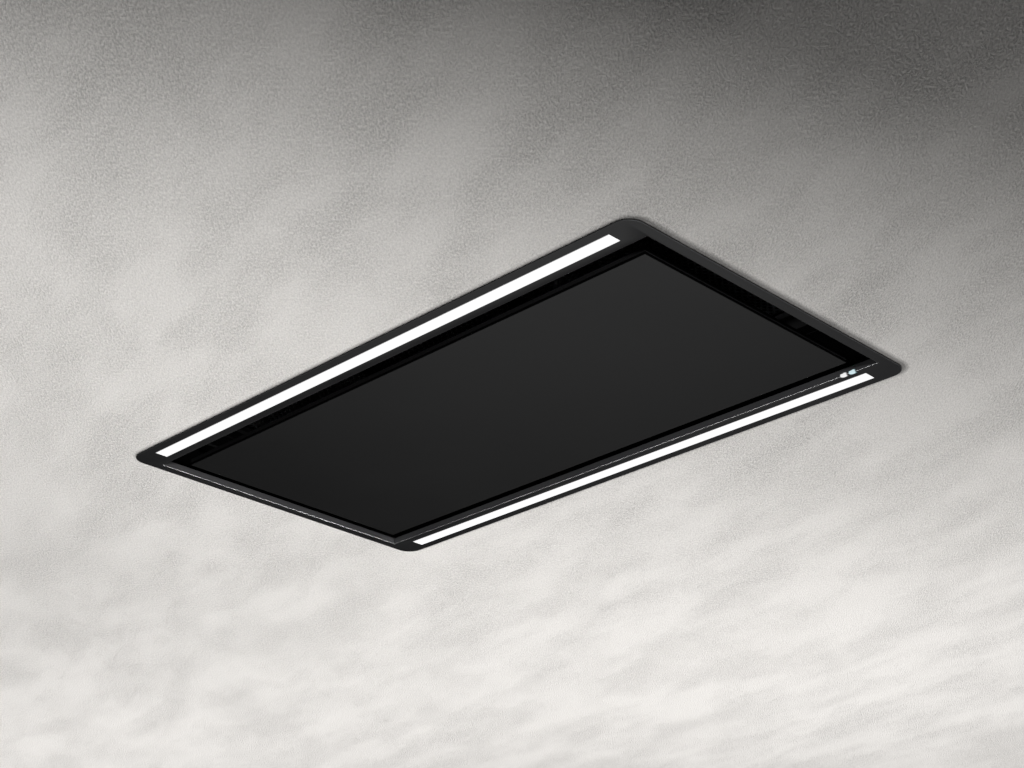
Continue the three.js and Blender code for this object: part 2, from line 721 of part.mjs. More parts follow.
function filterDeck() {
  const x = wallInX - 2 * FIT - SHEET;
  const y = wallInY - FIT;
  const z = [DECK_HEIGHT - RIM, DECK_HEIGHT + SHEET];
  const openX = filterX - FILTER_REST;
  const openY = filterEdge - FILTER_REST;
  const openings = filterXs.map((x0) => block([x0 - openX, x0 + openX], [-openY, openY], z));
  return build([tray([-x, x], [-y, y], z, SHEET, 'below')], openings);
}

// An angle under the deck; the filters' rear edge stands on its lower leg and tips over it.
function filterLedge() {
  const back = -filterEdge - FIT;
  const under = filterBottom - FIT;
  const x = [-filterRun / 2, filterRun / 2];
  const web = block(x, [back - LEDGE_SHEET, back], [under - LEDGE_SHEET, deckUnder]);
  const legY = [back - LEDGE_SHEET, LEDGE_ENGAGEMENT - filterEdge];
  const leg = block(x, legY, [under - LEDGE_SHEET, under]);
  return build([web, leg]);
}

// Magnets in a strip above the deck's front margin hold the filters' steel frames up.
function magnetStrip() {
  const front = filterEdge - (FILTER_REST - STRIP_WIDTH) / 2;
  const bottom = DECK_HEIGHT + SHEET + FIT;
  const x = [-filterRun / 2, filterRun / 2];
  return block(x, [front - STRIP_WIDTH, front], [bottom, bottom + STRIP_THICKNESS]);
}

function filterFrame() {
  const x = filterX;
  const inX = x - FILTER_CHANNEL;
  const inY = filterEdge - FILTER_CHANNEL;
  const z = [filterBottom, filterTop];
  const grooveX = x - FILTER_CHANNEL_SHEET;
  const grooveY = filterEdge - FILTER_CHANNEL_SHEET;
  const groove = block(
    [-grooveX, grooveX],
    [-grooveY, grooveY],
    [filterBottom + FILTER_CHANNEL_SHEET, filterTop - FILTER_CHANNEL_SHEET],
  );
  const window = block([-inX, inX], [-inY, inY], [z[0] - 1, z[1] + 1]);
  return build([block([-x, x], [-filterEdge, filterEdge], z)], [groove, window]);
}

// A staggered field of diamond openings, as in expanded metal.
function filterMesh() {
  const windowX = filterX - FILTER_CHANNEL;
  const windowY = filterEdge - FILTER_CHANNEL;
  const x = windowX + FILTER_PACK_ENGAGEMENT;
  const y = windowY + FILTER_PACK_ENGAGEMENT;
  const pitchX = (2 * windowX - MESH_STRAND) / MESH_COLUMNS;
  const pitchY = (2 * windowY - MESH_STRAND) / MESH_ROWS;
  const halfX = (pitchX - MESH_STRAND) / 2;
  const halfY = (pitchY * 2 - 3 * MESH_STRAND) / 2;
  const shape = rectangleShape(-x, x, -y, y);
  for (let row = 0; row < MESH_ROWS; row += 1) {
    const staggered = row % 2;
    const middleY = (row - (MESH_ROWS - 1) / 2) * pitchY;
    const reach = Math.min(halfY, windowY - Math.abs(middleY));
    for (let column = 0; column < MESH_COLUMNS - staggered; column += 1) {
      const middleX = (column - (MESH_COLUMNS - 1 - staggered) / 2) * pitchX;
      shape.holes.push(new THREE.Path([
        new THREE.Vector2(middleX - halfX, middleY),
        new THREE.Vector2(middleX, middleY - reach),
        new THREE.Vector2(middleX + halfX, middleY),
        new THREE.Vector2(middleX, middleY + reach),
      ]));
    }
  }
  const middle = (filterBottom + filterTop) / 2;
  return extrude(shape, middle - FILTER_PACK_THICKNESS / 2, middle + FILTER_PACK_THICKNESS / 2);
}

function filterHandle() {
  const y = filterEdge - FILTER_CHANNEL / 2;
  const top = filterBottom - FIT;
  const low = top - HANDLE_DROP;
  const half = HANDLE_SPAN / 2;
  const route = [[-half, y, top], [-half, y, low], [half, y, low], [half, y, top]];
  return lead(route, HANDLE_WIRE, HANDLE_DROP / 2);
}

add('filter_deck', filterDeck(), galvanised);
add('filter_ledge', filterLedge(), galvanised);
add('filter_magnet_strip', magnetStrip(), magnetBlack);
filterXs.forEach((x, i) => {
  add(`filter_frame_${i + 1}`, filterFrame(), stainless, [x, 0, 0]);
  add(`filter_mesh_${i + 1}`, filterMesh(), aluminium, [x, 0, 0]);
  add(`filter_handle_${i + 1}`, filterHandle(), stainless, [x, 0, 0]);
});

// ---------------------------------------------------------------------------------------------
// Drop-down panel
// ---------------------------------------------------------------------------------------------

function panelFace() {
  const x = panelX - FACE_CHAMFER;
  const y = panelY - FACE_CHAMFER;
  const shape = rectangleShape(-x, x, -y, y);
  const options = {
    depth: FACE_THICKNESS - 2 * FACE_CHAMFER,
    bevelThickness: FACE_CHAMFER,
    bevelSize: FACE_CHAMFER,
    bevelSegments: 1,
  };
  return new THREE.ExtrudeGeometry(shape, options).translate(0, 0, frameBottom + FACE_CHAMFER);
}

function panelTray() {
  const x = panelX - TRAY_INSET;
  const y = panelY - TRAY_INSET;
  const body = tray([-x, x], [-y, y], [trayBottom, trayTop], TRAY_SHEET, 'above');
  const ribs = [];
  const hollows = [];
  for (const side of [-1, 1]) {
    const ribX = HINGE_SPACING / 2 - HINGE_FOOT_LENGTH;
    const inX = ribX - TRAY_SHEET;
    const y0 = side * TRAY_RIB_OFFSET - TRAY_RIB_WIDTH / 2;
    const y1 = y0 + TRAY_RIB_WIDTH;
    const top = trayFloor + TRAY_RIB_HEIGHT;
    const inY = [y0 + TRAY_SHEET, y1 - TRAY_SHEET];
    ribs.push(block([-ribX, ribX], [y0, y1], [trayBottom, top]));
    hollows.push(block([-inX, inX], inY, [trayBottom - 1, top - TRAY_SHEET]));
  }
  return build([body, ...ribs], hollows);
}

// An upright ear or web with a round eye for the pin, drawn in Y and Z round the hinge's axis.
function eyePlate(base, x0, x1) {
  const shape = new THREE.Shape();
  const radius = HINGE_EYE_RADIUS;
  const up = base > 0 ? 1 : -1;
  shape.moveTo(radius, base);
  shape.lineTo(radius, 0);
  shape.absarc(0, 0, radius, 0, Math.PI, up > 0);
  shape.lineTo(-radius, base);
  shape.closePath();
  const eye = new THREE.Path();
  eye.absarc(0, 0, HINGE_PIN_DIAMETER / 2 + FIT, 0, 2 * Math.PI);
  shape.holes.push(eye);
  return extrudeAlongX(shape, x0, x1).translate(0, hingeY, HINGE_HEIGHT);
}

function hingeBracket() {
  const web = eyePlate(deckUnder - HINGE_HEIGHT, -HINGE_WEB / 2, HINGE_WEB / 2);
  const half = HINGE_FOOT_LENGTH / 2;
  const footY = [hingeY - HINGE_FOOT_WIDTH / 2, hingeY + HINGE_EYE_RADIUS];
  return build([web, block([-half, half], footY, [deckUnder - HINGE_EAR, deckUnder])]);
}

function hingeLeaf() {
  const base = trayFloor + FIT;
  const inner = HINGE_WEB / 2 + 2 * FIT;
  const ears = [-1, 1].map((side) => {
    const x = [side * inner, side * (inner + HINGE_EAR)].sort((a, b) => a - b);
    return eyePlate(base - HINGE_HEIGHT, x[0], x[1]);
  });
  const half = HINGE_FOOT_LENGTH / 2;
  const y0 = hingeY - HINGE_EYE_RADIUS;
  const foot = block([-half, half], [y0, y0 + LEAF_FOOT_WIDTH], [base, base + HINGE_EAR]);
  return build([foot, ...ears]);
}

function hingePin() {
  const radius = HINGE_PIN_DIAMETER / 2;
  const half = HINGE_WEB / 2 + 2 * FIT + HINGE_EAR + FIT;
  const head = HINGE_PIN_HEAD / 2;
  const end = half + HINGE_PIN_HEAD_THICKNESS;
  const profile = [
    [0, -end], [head, -end], [head, -half], [radius, -half],
    [radius, half], [head, half], [head, end], [0, end],
  ];
  return revolve(profile, 12).applyMatrix4(upToPlusX).translate(0, hingeY, HINGE_HEIGHT);
}

function panelMagnet() {
  const x = [-MAGNET_LENGTH / 2, MAGNET_LENGTH / 2];
  const y = panelY - MAGNET_SETBACK;
  const back = y - MAGNET_STALK / 2;
  const front = y + MAGNET_WIDTH / 2;
  const low = trayFloor + FIT;
  const high = low + MAGNET_HEIGHT;
  const magnet = block(x, [y - MAGNET_WIDTH / 2, front], [low, high]);
  const stalk = block(x, [back, back + MAGNET_STALK], [high - 1, deckUnder]);
  const foot = block(x, [back, front], [deckUnder - MAGNET_STALK, deckUnder]);
  return build([magnet, stalk, foot]);
}

add('panel_face', panelFace(), darkGlass);
add('panel_tray', panelTray(), coatedSteel);
for (const [end, name] of [[-1, 'duct'], [1, 'control']]) {
  const x = end * HINGE_SPACING / 2;
  add(`panel_hinge_bracket_${name}`, hingeBracket(), stainless, [x, 0, 0]);
  add(`panel_hinge_leaf_${name}`, hingeLeaf(), stainless, [x, 0, 0]);
  add(`panel_hinge_pin_${name}`, hingePin(), stainless, [x, 0, 0]);
  add(`panel_magnet_${name}`, panelMagnet(), magnetBlack, [end * MAGNET_SPACING / 2, 0, 0]);
}

// ---------------------------------------------------------------------------------------------
// Blower
// ---------------------------------------------------------------------------------------------

// The spiral from the tongue to the outlet, drawn "inset" inside the moulding's outer face and
// carried on "reach" past the outlet.
function scrollShape(inset, reach) {
  const lowY = tongueY + inset;
  const start = Math.PI - Math.asin(lowY / (SCROLL_START_RADIUS - inset));
  const points = [];
  for (let i = 0; i <= SCROLL_STEPS; i += 1) {
    const angle = start + (scrollEnd - start) * i / SCROLL_STEPS;
    points.push(aroundScroll(scrollRadius(angle) - inset, angle));
  }
  const outlet = scrollOutlet - reach;
  points.push(new THREE.Vector2(outlet, scrollY + scrollEndRadius - inset));
  points.push(new THREE.Vector2(outlet, scrollY + lowY));
  return new THREE.Shape(points);
}

function aroundScroll(radius, angle) {
  return new THREE.Vector2(scrollX + radius * Math.cos(angle), scrollY + radius * Math.sin(angle));
}

function scrollHousing() {
  const outer = extrude(scrollShape(0, 0), scrollBottom, scrollTop);
  const inner = extrude(scrollShape(MOULD, RIM), scrollBottom - 1, scrollCeiling);
  const rim = block(
    [scrollOutlet, scrollOutlet + MOULD],
    [scrollY + tongueY - OUTLET_RIM, scrollY + scrollEndRadius + OUTLET_RIM],
    [scrollBottom, scrollTop + OUTLET_RIM],
  );
  const bosses = SCROLL_BOSS_ANGLES.map((degrees) => {
    const radius = SCROLL_START_RADIUS - 2 * SCROLL_BOSS_RADIUS;
    const place = aroundScroll(radius, THREE.MathUtils.degToRad(degrees));
    const boss = disc(SCROLL_BOSS_RADIUS, scrollCeiling, scrollTop + SCROLL_STANDOFF, 12);
    return boss.translate(place.x, place.y, 0);
  });
  const leadHole = disc(LEAD_HOLE_RADIUS, scrollCeiling - 1, scrollTop + 1, 12);
  return build([outer, rim, ...bosses], [inner, leadHole.translate(scrollX, scrollY, 0)]);
}

// The lower cover with its bell mouth, which curves up into the impeller's inlet.
function scrollCover() {
  const top = scrollBottom - FIT;
  const bottom = top - MOULD;
  const plate = scrollShape(-COVER_RIM, 0);
  const curveX = BELL_THROAT_RADIUS + BELL_CURVE;
  const hole = new THREE.Path();
  hole.absarc(scrollX, scrollY, curveX - MOULD / 2, 0, 2 * Math.PI);
  plate.holes.push(hole);
  const arc = (radius, from, to) => Array.from({ length: BELL_STEPS + 1 }, (_, i) => {
    const angle = THREE.MathUtils.degToRad(from + (to - from) * i / BELL_STEPS);
    return [curveX - radius * Math.cos(angle), BELL_CURVE - radius * Math.sin(angle)];
  });
  const collarTop = BELL_CURVE + BELL_COLLAR;
  const profile = [
    [BELL_THROAT_RADIUS, collarTop],
    ...arc(BELL_CURVE, 0, 90),
    ...arc(BELL_CURVE - MOULD, 90, 0),
    [BELL_THROAT_RADIUS + MOULD, collarTop],
    [BELL_THROAT_RADIUS, collarTop],
  ];
  const bell = revolve(profile, 32).translate(scrollX, scrollY, bottom);
  return build([extrude(plate, bottom, top, 16), bell]);
}

// A forward-curved blade, drawn along its camber line and set off to both sides of it.
function blade(z0, z1) {
  const depth = IMPELLER_RADIUS - BLADE_TIP_GAP - IMPELLER_INNER_RADIUS;
  const camber = Array.from({ length: BLADE_STEPS + 1 }, (_, i) => {
    const share = i / BLADE_STEPS;
    const radius = IMPELLER_INNER_RADIUS + depth * share;
    const angle = THREE.MathUtils.degToRad(BLADE_LEAD) * share * share;
    return new THREE.Vector2(radius * Math.cos(angle), radius * Math.sin(angle));
  });
  const offset = (side) => camber.map((point, i) => {
    const before = camber[Math.max(i - 1, 0)];
    const after = camber[Math.min(i + 1, BLADE_STEPS)];
    const along = after.clone().sub(before).normalize();
    return new THREE.Vector2(-along.y, along.x).multiplyScalar(side * BLADE_THICKNESS / 2).add(point);
  });
  return extrude(new THREE.Shape([...offset(-1), ...offset(1).reverse()]), z0, z1);
}

// Heights of the turning parts are measured down from the scroll's ceiling.
function impeller() {
  const plateBottom = -IMPELLER_TOP - IMPELLER_PLATE;
  const low = -IMPELLER_TOP - IMPELLER_DEPTH;
  const plate = ring(ROTOR_RADIUS + FIT, IMPELLER_RADIUS, plateBottom, -IMPELLER_TOP, BLADE_COUNT);
  const ringInner = IMPELLER_INNER_RADIUS + IMPELLER_RING_SETBACK;
  const lowerRing = ring(ringInner, IMPELLER_RADIUS, low, low + IMPELLER_RING, BLADE_COUNT);
  const bladeZ = [low + IMPELLER_RING - BLADE_ROOT, plateBottom + BLADE_ROOT];
  const blades = Array.from({ length: BLADE_COUNT }, (_, i) => (
    blade(...bladeZ).rotateZ(2 * Math.PI * (i + 0.5) / BLADE_COUNT)
  ));
  return build([plate, lowerRing, ...blades]);
}

const rotorTop = -STATOR_FLANGE - ROTOR_HEADROOM;

function rotor() {
  const bottom = rotorTop - ROTOR_DEPTH;
  const outer = ROTOR_RADIUS;
  const inner = outer - ROTOR_WALL;
  const rim = outer + ROTOR_RIM;
  const rimTop = -IMPELLER_TOP - IMPELLER_PLATE - FIT;
  const rimBottom = rimTop - ROTOR_RIM_THICKNESS;
  return revolve([
    [0, bottom], [outer, bottom], [outer, rimBottom], [rim, rimBottom],
    [rim, rimTop], [outer, rimTop], [outer, rotorTop], [inner, rotorTop],
    [inner, bottom + ROTOR_WALL], [0, bottom + ROTOR_WALL],
  ], MOTOR_SEGMENTS);
}

function stator() {
  const core = ROTOR_RADIUS - ROTOR_WALL - STATOR_GAP;
  const bottom = rotorTop - ROTOR_DEPTH + ROTOR_WALL + STATOR_GAP;
  const flangeBottom = -FIT - STATOR_FLANGE;
  return revolve([
    [0, bottom], [core, bottom], [core, flangeBottom], [STATOR_FLANGE_RADIUS, flangeBottom],
    [STATOR_FLANGE_RADIUS, -FIT], [0, -FIT],
  ], MOTOR_SEGMENTS);
}

const blowerCentre = [scrollX, scrollY, scrollCeiling];
add('scroll_housing', scrollHousing(), blackMould);
add('scroll_cover', scrollCover(), blackMould);
add('motor_stator', stator(), aluminium, blowerCentre);
add('motor_rotor', rotor(), greyMould, blowerCentre);
add('impeller', impeller(), galvanised, blowerCentre);

// ---------------------------------------------------------------------------------------------
// Duct
// ---------------------------------------------------------------------------------------------

// One ring of the transition, from a rectangle (share 0) to a circle (share 1), in Y and Z.
function loftRing(x, share, grow) {
  const halfY = (scrollEndRadius - tongueY) / 2 - MOULD + grow;
  const low = scrollBottom - grow;
  const high = scrollCeiling + grow;
  const middleZ = (low + high) / 2;
  const halfZ = (high - low) / 2;
  const radius = collarRadius + FIT + grow;
  const ease = share * share * (3 - 2 * share);
  const corners = [[1, 1], [-1, 1], [-1, -1], [1, -1]];
  const points = [];
  corners.forEach(([y0, z0], side) => {
    const [y1, z1] = corners[(side + 1) % 4];
    for (let i = 0; i < LOFT_SIDE_STEPS; i += 1) {
      const t = i / LOFT_SIDE_STEPS;
      const angle = (side + 0.5 + t) * Math.PI / 2;
      const boxY = halfY * (y0 + (y1 - y0) * t);
      const boxZ = middleZ + halfZ * (z0 + (z1 - z0) * t);
      const roundY = radius * Math.cos(angle);
      const roundZ = ductHeight + radius * Math.sin(angle);
      points.push([x, ductY + boxY + (roundY - boxY) * ease, boxZ + (roundZ - boxZ) * ease]);
    }
  });
  return points;
}

// Closes a run of rings on itself, so that inner and outer faces make one thin-walled body.
function closedLoft(rings) {
  const count = rings[0].length;
  const index = [];
  rings.forEach((_, i) => {
    const next = (i + 1) % rings.length;
    for (let j = 0; j < count; j += 1) {
      const k = (j + 1) % count;
      const [a, b, c, d] = [i * count + j, i * count + k, next * count + k, next * count + j];
      index.push(a, c, b, a, d, c);
    }
  });
  const geometry = new THREE.BufferGeometry();
  geometry.setAttribute('position', new THREE.Float32BufferAttribute(rings.flat(2), 3));
  geometry.setIndex(index);
  return geometry;
}

function outletTransition() {
  const start = scrollOutlet - FIT;
  const sleeve = -wallInX + COLLAR_STUB;
  const end = -wallInX + FIT;
  const shares = Array.from({ length: LOFT_RINGS }, (_, i) => i / (LOFT_RINGS - 1));
  const places = shares.map((share) => [start + (sleeve - start) * share, share]);
  places.push([end, 1]);
  const outer = places.map(([x, share]) => loftRing(x, share, SHEET));
  const inner = places.map(([x, share]) => loftRing(x, share, 0)).reverse();
  const low = scrollY + tongueY;
  const high = scrollY + scrollEndRadius;
  const rim = OUTLET_RIM;
  const flange = rectangleShape(low - rim, high + rim, scrollBottom - rim, scrollTop + rim);
  flange.holes.push(rectanglePath(low + MOULD, high - MOULD, scrollBottom, scrollCeiling));
  return build([closedLoft([...outer, ...inner]), extrudeAlongX(flange, start - MOULD, start)]);
}

// The collar, with holes for the flaps' stubs and a stop inside for each flap.
function ductCollar() {
  const inner = collarInner;
  const bead = COLLAR_LENGTH - COLLAR_BEAD_PLACE;
  const flangeEnd = FIT + COLLAR_FLANGE_THICKNESS;
  const profile = [
    [inner, -SHEET - COLLAR_STUB],
    [collarRadius, -SHEET - COLLAR_STUB],
    [collarRadius, FIT],
    [collarRadius + COLLAR_FLANGE, FIT],
    [collarRadius + COLLAR_FLANGE, flangeEnd],
    [collarRadius, flangeEnd],
    [collarRadius, bead - 2 * COLLAR_BEAD],
    [collarRadius + COLLAR_BEAD, bead],
    [collarRadius, bead + 2 * COLLAR_BEAD],
    [collarRadius, COLLAR_LENGTH],
    [inner, COLLAR_LENGTH],
    [inner, -SHEET - COLLAR_STUB],
  ];
  const tube = revolve(profile, DUCT_SEGMENTS).applyMatrix4(upToMinusX);
  const stopFace = FLAP_THICKNESS / 2 + FIT - FLAP_PLACE;
  const stops = [-1, 1].map((side) => block(
    [stopFace, stopFace + FLAP_STOP_THICKNESS],
    [side * (inner - FLAP_STOP_REACH), side * (inner + DUCT_WALL / 2)],
    [-FLAP_STOP_WIDTH / 2, FLAP_STOP_WIDTH / 2],
  ));
  const holes = [-1, 1].map((side) => (
    disc(FLAP_STUB_RADIUS + FIT, -collarRadius - 1, collarRadius + 1, 8)
      .translate(-FLAP_PLACE, side * flapAxis, 0)
  ));
  return build([tube, ...stops], holes).translate(-wallOutX, ductY, ductHeight);
}

// A half disc on a rod of its own beside the pin; the rod's stubs turn in the collar's holes.
function flap(side) {
  const radius = collarInner - FLAP_CLEARANCE;
  const angle = Math.acos(flapAxis / radius);
  const middle = side > 0 ? 0 : Math.PI;
  const shape = new THREE.Shape();
  shape.absarc(0, 0, radius, middle - angle, middle + angle);
  const leaf = extrudeAlongX(shape, -FLAP_THICKNESS / 2, FLAP_THICKNESS / 2, 8);
  const rodHalf = Math.sqrt(radius ** 2 - (flapAxis + FLAP_ROD_RADIUS) ** 2);
  const rod = disc(FLAP_ROD_RADIUS, -rodHalf, rodHalf, 10).translate(0, side * flapAxis, 0);
  const stubs = disc(FLAP_STUB_RADIUS, -collarRadius, collarRadius, 8);
  return build([leaf, rod, stubs.translate(0, side * flapAxis, 0)]);
}

// The fixed pin that closes the gap between the two flaps.
function flapPin() {
  const half = collarInner - FIT;
  return disc(FLAP_PIN_RADIUS, -half, half, 12);
}

const flapCentre = [flapX, ductY, ductHeight];
add('outlet_transition', outletTransition(), galvanised);
add('duct_collar', ductCollar(), blackMould);
add('flap_pin', flapPin(), stainless, flapCentre);
add('flap_left', flap(-1), greyMould, flapCentre);
add('flap_right', flap(1), greyMould, flapCentre);

// ---------------------------------------------------------------------------------------------
// Electrics
// ---------------------------------------------------------------------------------------------

const controlTop = wallTop - SHEET - FIT;
const controlBottom = controlTop - CONTROL_HEIGHT;
const controlXs = [controlX - CONTROL_LENGTH / 2, controlX + CONTROL_LENGTH / 2];
const controlYs = [controlY - CONTROL_WIDTH / 2, controlY + CONTROL_WIDTH / 2];

function controlBox() {
  return tray(controlXs, controlYs, [controlBottom, controlTop], CONTROL_SHEET, 'below');
}

function controlLid() {
  const grow = FIT + CONTROL_SHEET;
  const x = [controlXs[0] - grow, controlXs[1] + grow];
  const y = [controlYs[0] - grow, controlYs[1] + grow];
  const bottom = controlBottom - grow;
  return tray(x, y, [bottom, bottom + RIM], CONTROL_SHEET, 'above');
}

// A board with a transformer and a row of relays on its underside.
function controlBoard() {
  const inset = CONTROL_BOARD_MARGIN;
  const x = [controlXs[0] + inset, controlXs[1] - inset];
  const y = [controlYs[0] + inset, controlYs[1] - inset];
  const top = controlTop - CONTROL_BOARD_DROP;
  const board = block(x, y, [top - CONTROL_BOARD_THICKNESS, top]);
  const partZ = [top - COMPONENT_HEIGHT, top - 1];
  const x0 = x[0] + COMPONENT_MARGIN;
  const y0 = y[0] + COMPONENT_MARGIN;
  const transformer = block([x0, x0 + TRANSFORMER_SIZE], [y0, y0 + TRANSFORMER_SIZE], partZ);
  const relayX = [x[1] - COMPONENT_MARGIN - RELAY_SIZE, x[1] - COMPONENT_MARGIN];
  const relays = Array.from({ length: RELAY_COUNT }, (_, i) => (
    block(relayX, [y0 + RELAY_PITCH * i, y0 + RELAY_PITCH * i + RELAY_SIZE], partZ)
  ));
  return build([board, transformer, ...relays]);
}

function lightDriver() {
  const half = DRIVER_LENGTH / 2;
  const ear = half + DRIVER_EAR;
  const y = [driverY - DRIVER_WIDTH / 2, driverY + DRIVER_WIDTH / 2];
  const top = controlTop;
  const body = block([controlX - half, controlX + half], y, [top - DRIVER_HEIGHT, top]);
  const ears = block([controlX - ear, controlX + ear], y, [top - DRIVER_EAR_THICKNESS, top]);
  return build([body, ears]);
}

function cableGland() {
  const flange = SHEET + FIT;
  const out = flange + GLAND_FLANGE;
  const start = -GLAND_LENGTH / 2;
  const profile = [
    [GLAND_BORE_RADIUS, start], [GLAND_RADIUS, start], [GLAND_RADIUS, flange],
    [GLAND_FLANGE_RADIUS, flange], [GLAND_FLANGE_RADIUS, out], [GLAND_RADIUS, out + GLAND_CHAMFER],
    [GLAND_RADIUS - GLAND_CHAMFER, GLAND_LENGTH], [GLAND_BORE_RADIUS, GLAND_LENGTH],
    [GLAND_BORE_RADIUS, start],
  ];
  return revolve(profile, 16).applyMatrix4(upToPlusX).translate(wallInX, controlY, glandHeight);
}

// From the hole over the motor, under the housing's top, to the control box.
function motorLead() {
  const high = topUnder - (FIT + SCROLL_STANDOFF) / 2;
  const low = controlTop - CONTROL_HEIGHT / 4;
  const end = controlXs[0] - FIT;
  const y = controlY + CONTROL_WIDTH / 4;
  return lead([
    [scrollX, scrollY, scrollCeiling + FIT],
    [scrollX, scrollY, high],
    [end - 2 * LEAD_BEND, scrollY, high],
    [end - 2 * LEAD_BEND, y, low],
    [end, y, low],
  ], LEAD_DIAMETER, LEAD_BEND);
}

// From the end of a light profile, up the outside of the side wall and in to the driver.
function lightLead(side) {
  const start = lightX + 2 * FIT + PROFILE_WALL;
  const riseY = side * (wallOutY + LEAD_STANDOFF);
  const profileZ = frameTop + FIT + PROFILE_HEIGHT / 2;
  const endY = driverY + side * (DRIVER_WIDTH / 2 + FIT);
  const endZ = controlTop - DRIVER_HEIGHT / 2;
  const turnY = endY + side * LEAD_BEND;
  return lead([
    [start, side * lightY, profileZ],
    [leadX, side * lightY, profileZ],
    [leadX, riseY, profileZ],
    [leadX, riseY, leadHeight],
    [leadX, turnY, leadHeight],
    [controlX, turnY, endZ],
    [controlX, endY, endZ],
  ], LEAD_DIAMETER, LEAD_BEND);
}

add('control_box', controlBox(), galvanised);
add('control_lid', controlLid(), galvanised);
add('control_board', controlBoard(), circuitBoard);
add('light_driver', lightDriver(), greyMould);
add('cable_gland', cableGland(), blackMould);
add('motor_lead', motorLead(), leadSheath);
add('light_lead_left', lightLead(-1), leadSheath);
add('light_lead_right', lightLead(1), leadSheath);

export default hood;
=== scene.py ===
"""Ceiling range hood: finishes, fine parts, ceiling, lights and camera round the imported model.

Everything is in metres in the row frame: +Z is up, z = 0 is the underside of the ceiling and +X
runs along the hood from the duct end to the end with the keys. The camera looks up from below.
"""

import json
import math

import bmesh
import bpy
from mathutils import Matrix, Vector

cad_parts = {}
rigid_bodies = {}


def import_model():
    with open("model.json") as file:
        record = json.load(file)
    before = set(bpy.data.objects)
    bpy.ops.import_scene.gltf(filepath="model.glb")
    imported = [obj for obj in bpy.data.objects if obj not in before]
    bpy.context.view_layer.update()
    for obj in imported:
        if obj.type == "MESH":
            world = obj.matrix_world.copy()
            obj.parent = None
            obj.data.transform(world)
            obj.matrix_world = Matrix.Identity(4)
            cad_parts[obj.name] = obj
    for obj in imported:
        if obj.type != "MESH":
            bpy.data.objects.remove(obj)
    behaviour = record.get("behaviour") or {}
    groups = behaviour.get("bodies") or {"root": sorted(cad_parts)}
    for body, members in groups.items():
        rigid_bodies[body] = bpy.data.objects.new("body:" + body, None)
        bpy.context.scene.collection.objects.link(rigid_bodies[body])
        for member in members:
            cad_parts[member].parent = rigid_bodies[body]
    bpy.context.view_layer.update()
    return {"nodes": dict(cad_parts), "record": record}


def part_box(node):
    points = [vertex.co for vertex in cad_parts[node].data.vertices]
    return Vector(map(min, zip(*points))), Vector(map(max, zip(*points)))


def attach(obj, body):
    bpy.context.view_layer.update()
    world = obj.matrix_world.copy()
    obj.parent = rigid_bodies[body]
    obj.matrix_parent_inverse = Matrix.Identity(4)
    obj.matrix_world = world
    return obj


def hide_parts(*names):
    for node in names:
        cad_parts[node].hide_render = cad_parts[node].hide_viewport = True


MM = 0.001

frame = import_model()
nodes = frame["nodes"]
scene = bpy.context.scene


# ---------------------------------------------------------------------------------------------
# Camera, at the photograph's place
# ---------------------------------------------------------------------------------------------

CAMERA_PLACE = Vector((1.6824, -1.6607, -1.0943))
CAMERA_AZIMUTH = 44.916  # degrees from +Y towards -X
CAMERA_RISE = 25.829  # degrees above the horizon
CAMERA_ROLL = 0.142
CAMERA_LENS = 64.26
CAMERA_SENSOR = 36.0


def make_camera():
    data = bpy.data.cameras.new("camera")
    data.lens = CAMERA_LENS
    data.sensor_width = CAMERA_SENSOR
    data.clip_end = 100
    camera = bpy.data.objects.new("camera", data)
    turn = Matrix.Rotation(math.radians(CAMERA_AZIMUTH), 4, "Z")
    tilt = Matrix.Rotation(math.radians(90 + CAMERA_RISE), 4, "X")
    roll = Matrix.Rotation(math.radians(CAMERA_ROLL), 4, "Z")
    camera.matrix_world = Matrix.Translation(CAMERA_PLACE) @ turn @ tilt @ roll
    scene.collection.objects.link(camera)
    scene.camera = camera


make_camera()


# ---------------------------------------------------------------------------------------------
# Places read from the frame
# ---------------------------------------------------------------------------------------------

frame_low, frame_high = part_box("trim_frame")
panel_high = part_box("panel_face")[1]
wall_low, wall_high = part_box("side_wall_right")
collar_low, collar_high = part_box("duct_collar")
top_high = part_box("housing_top")[1]

SLOT = 29 * MM  # between the panel and the frame's lip
LIP_X = panel_high.x + SLOT
LIP_Y = panel_high.y + SLOT
LIP_TO_WALL = 1.8 * MM
FRAME_SHEET = 1.5 * MM
WALL_SHEET = 1.2 * MM
WALL_IN_X = LIP_X + LIP_TO_WALL
WALL_IN_Y = LIP_Y + LIP_TO_WALL
WALL_OUT_X = WALL_IN_X + WALL_SHEET
WALL_OUT_Y = WALL_IN_Y + WALL_SHEET


# ---------------------------------------------------------------------------------------------
# Material helpers
# ---------------------------------------------------------------------------------------------


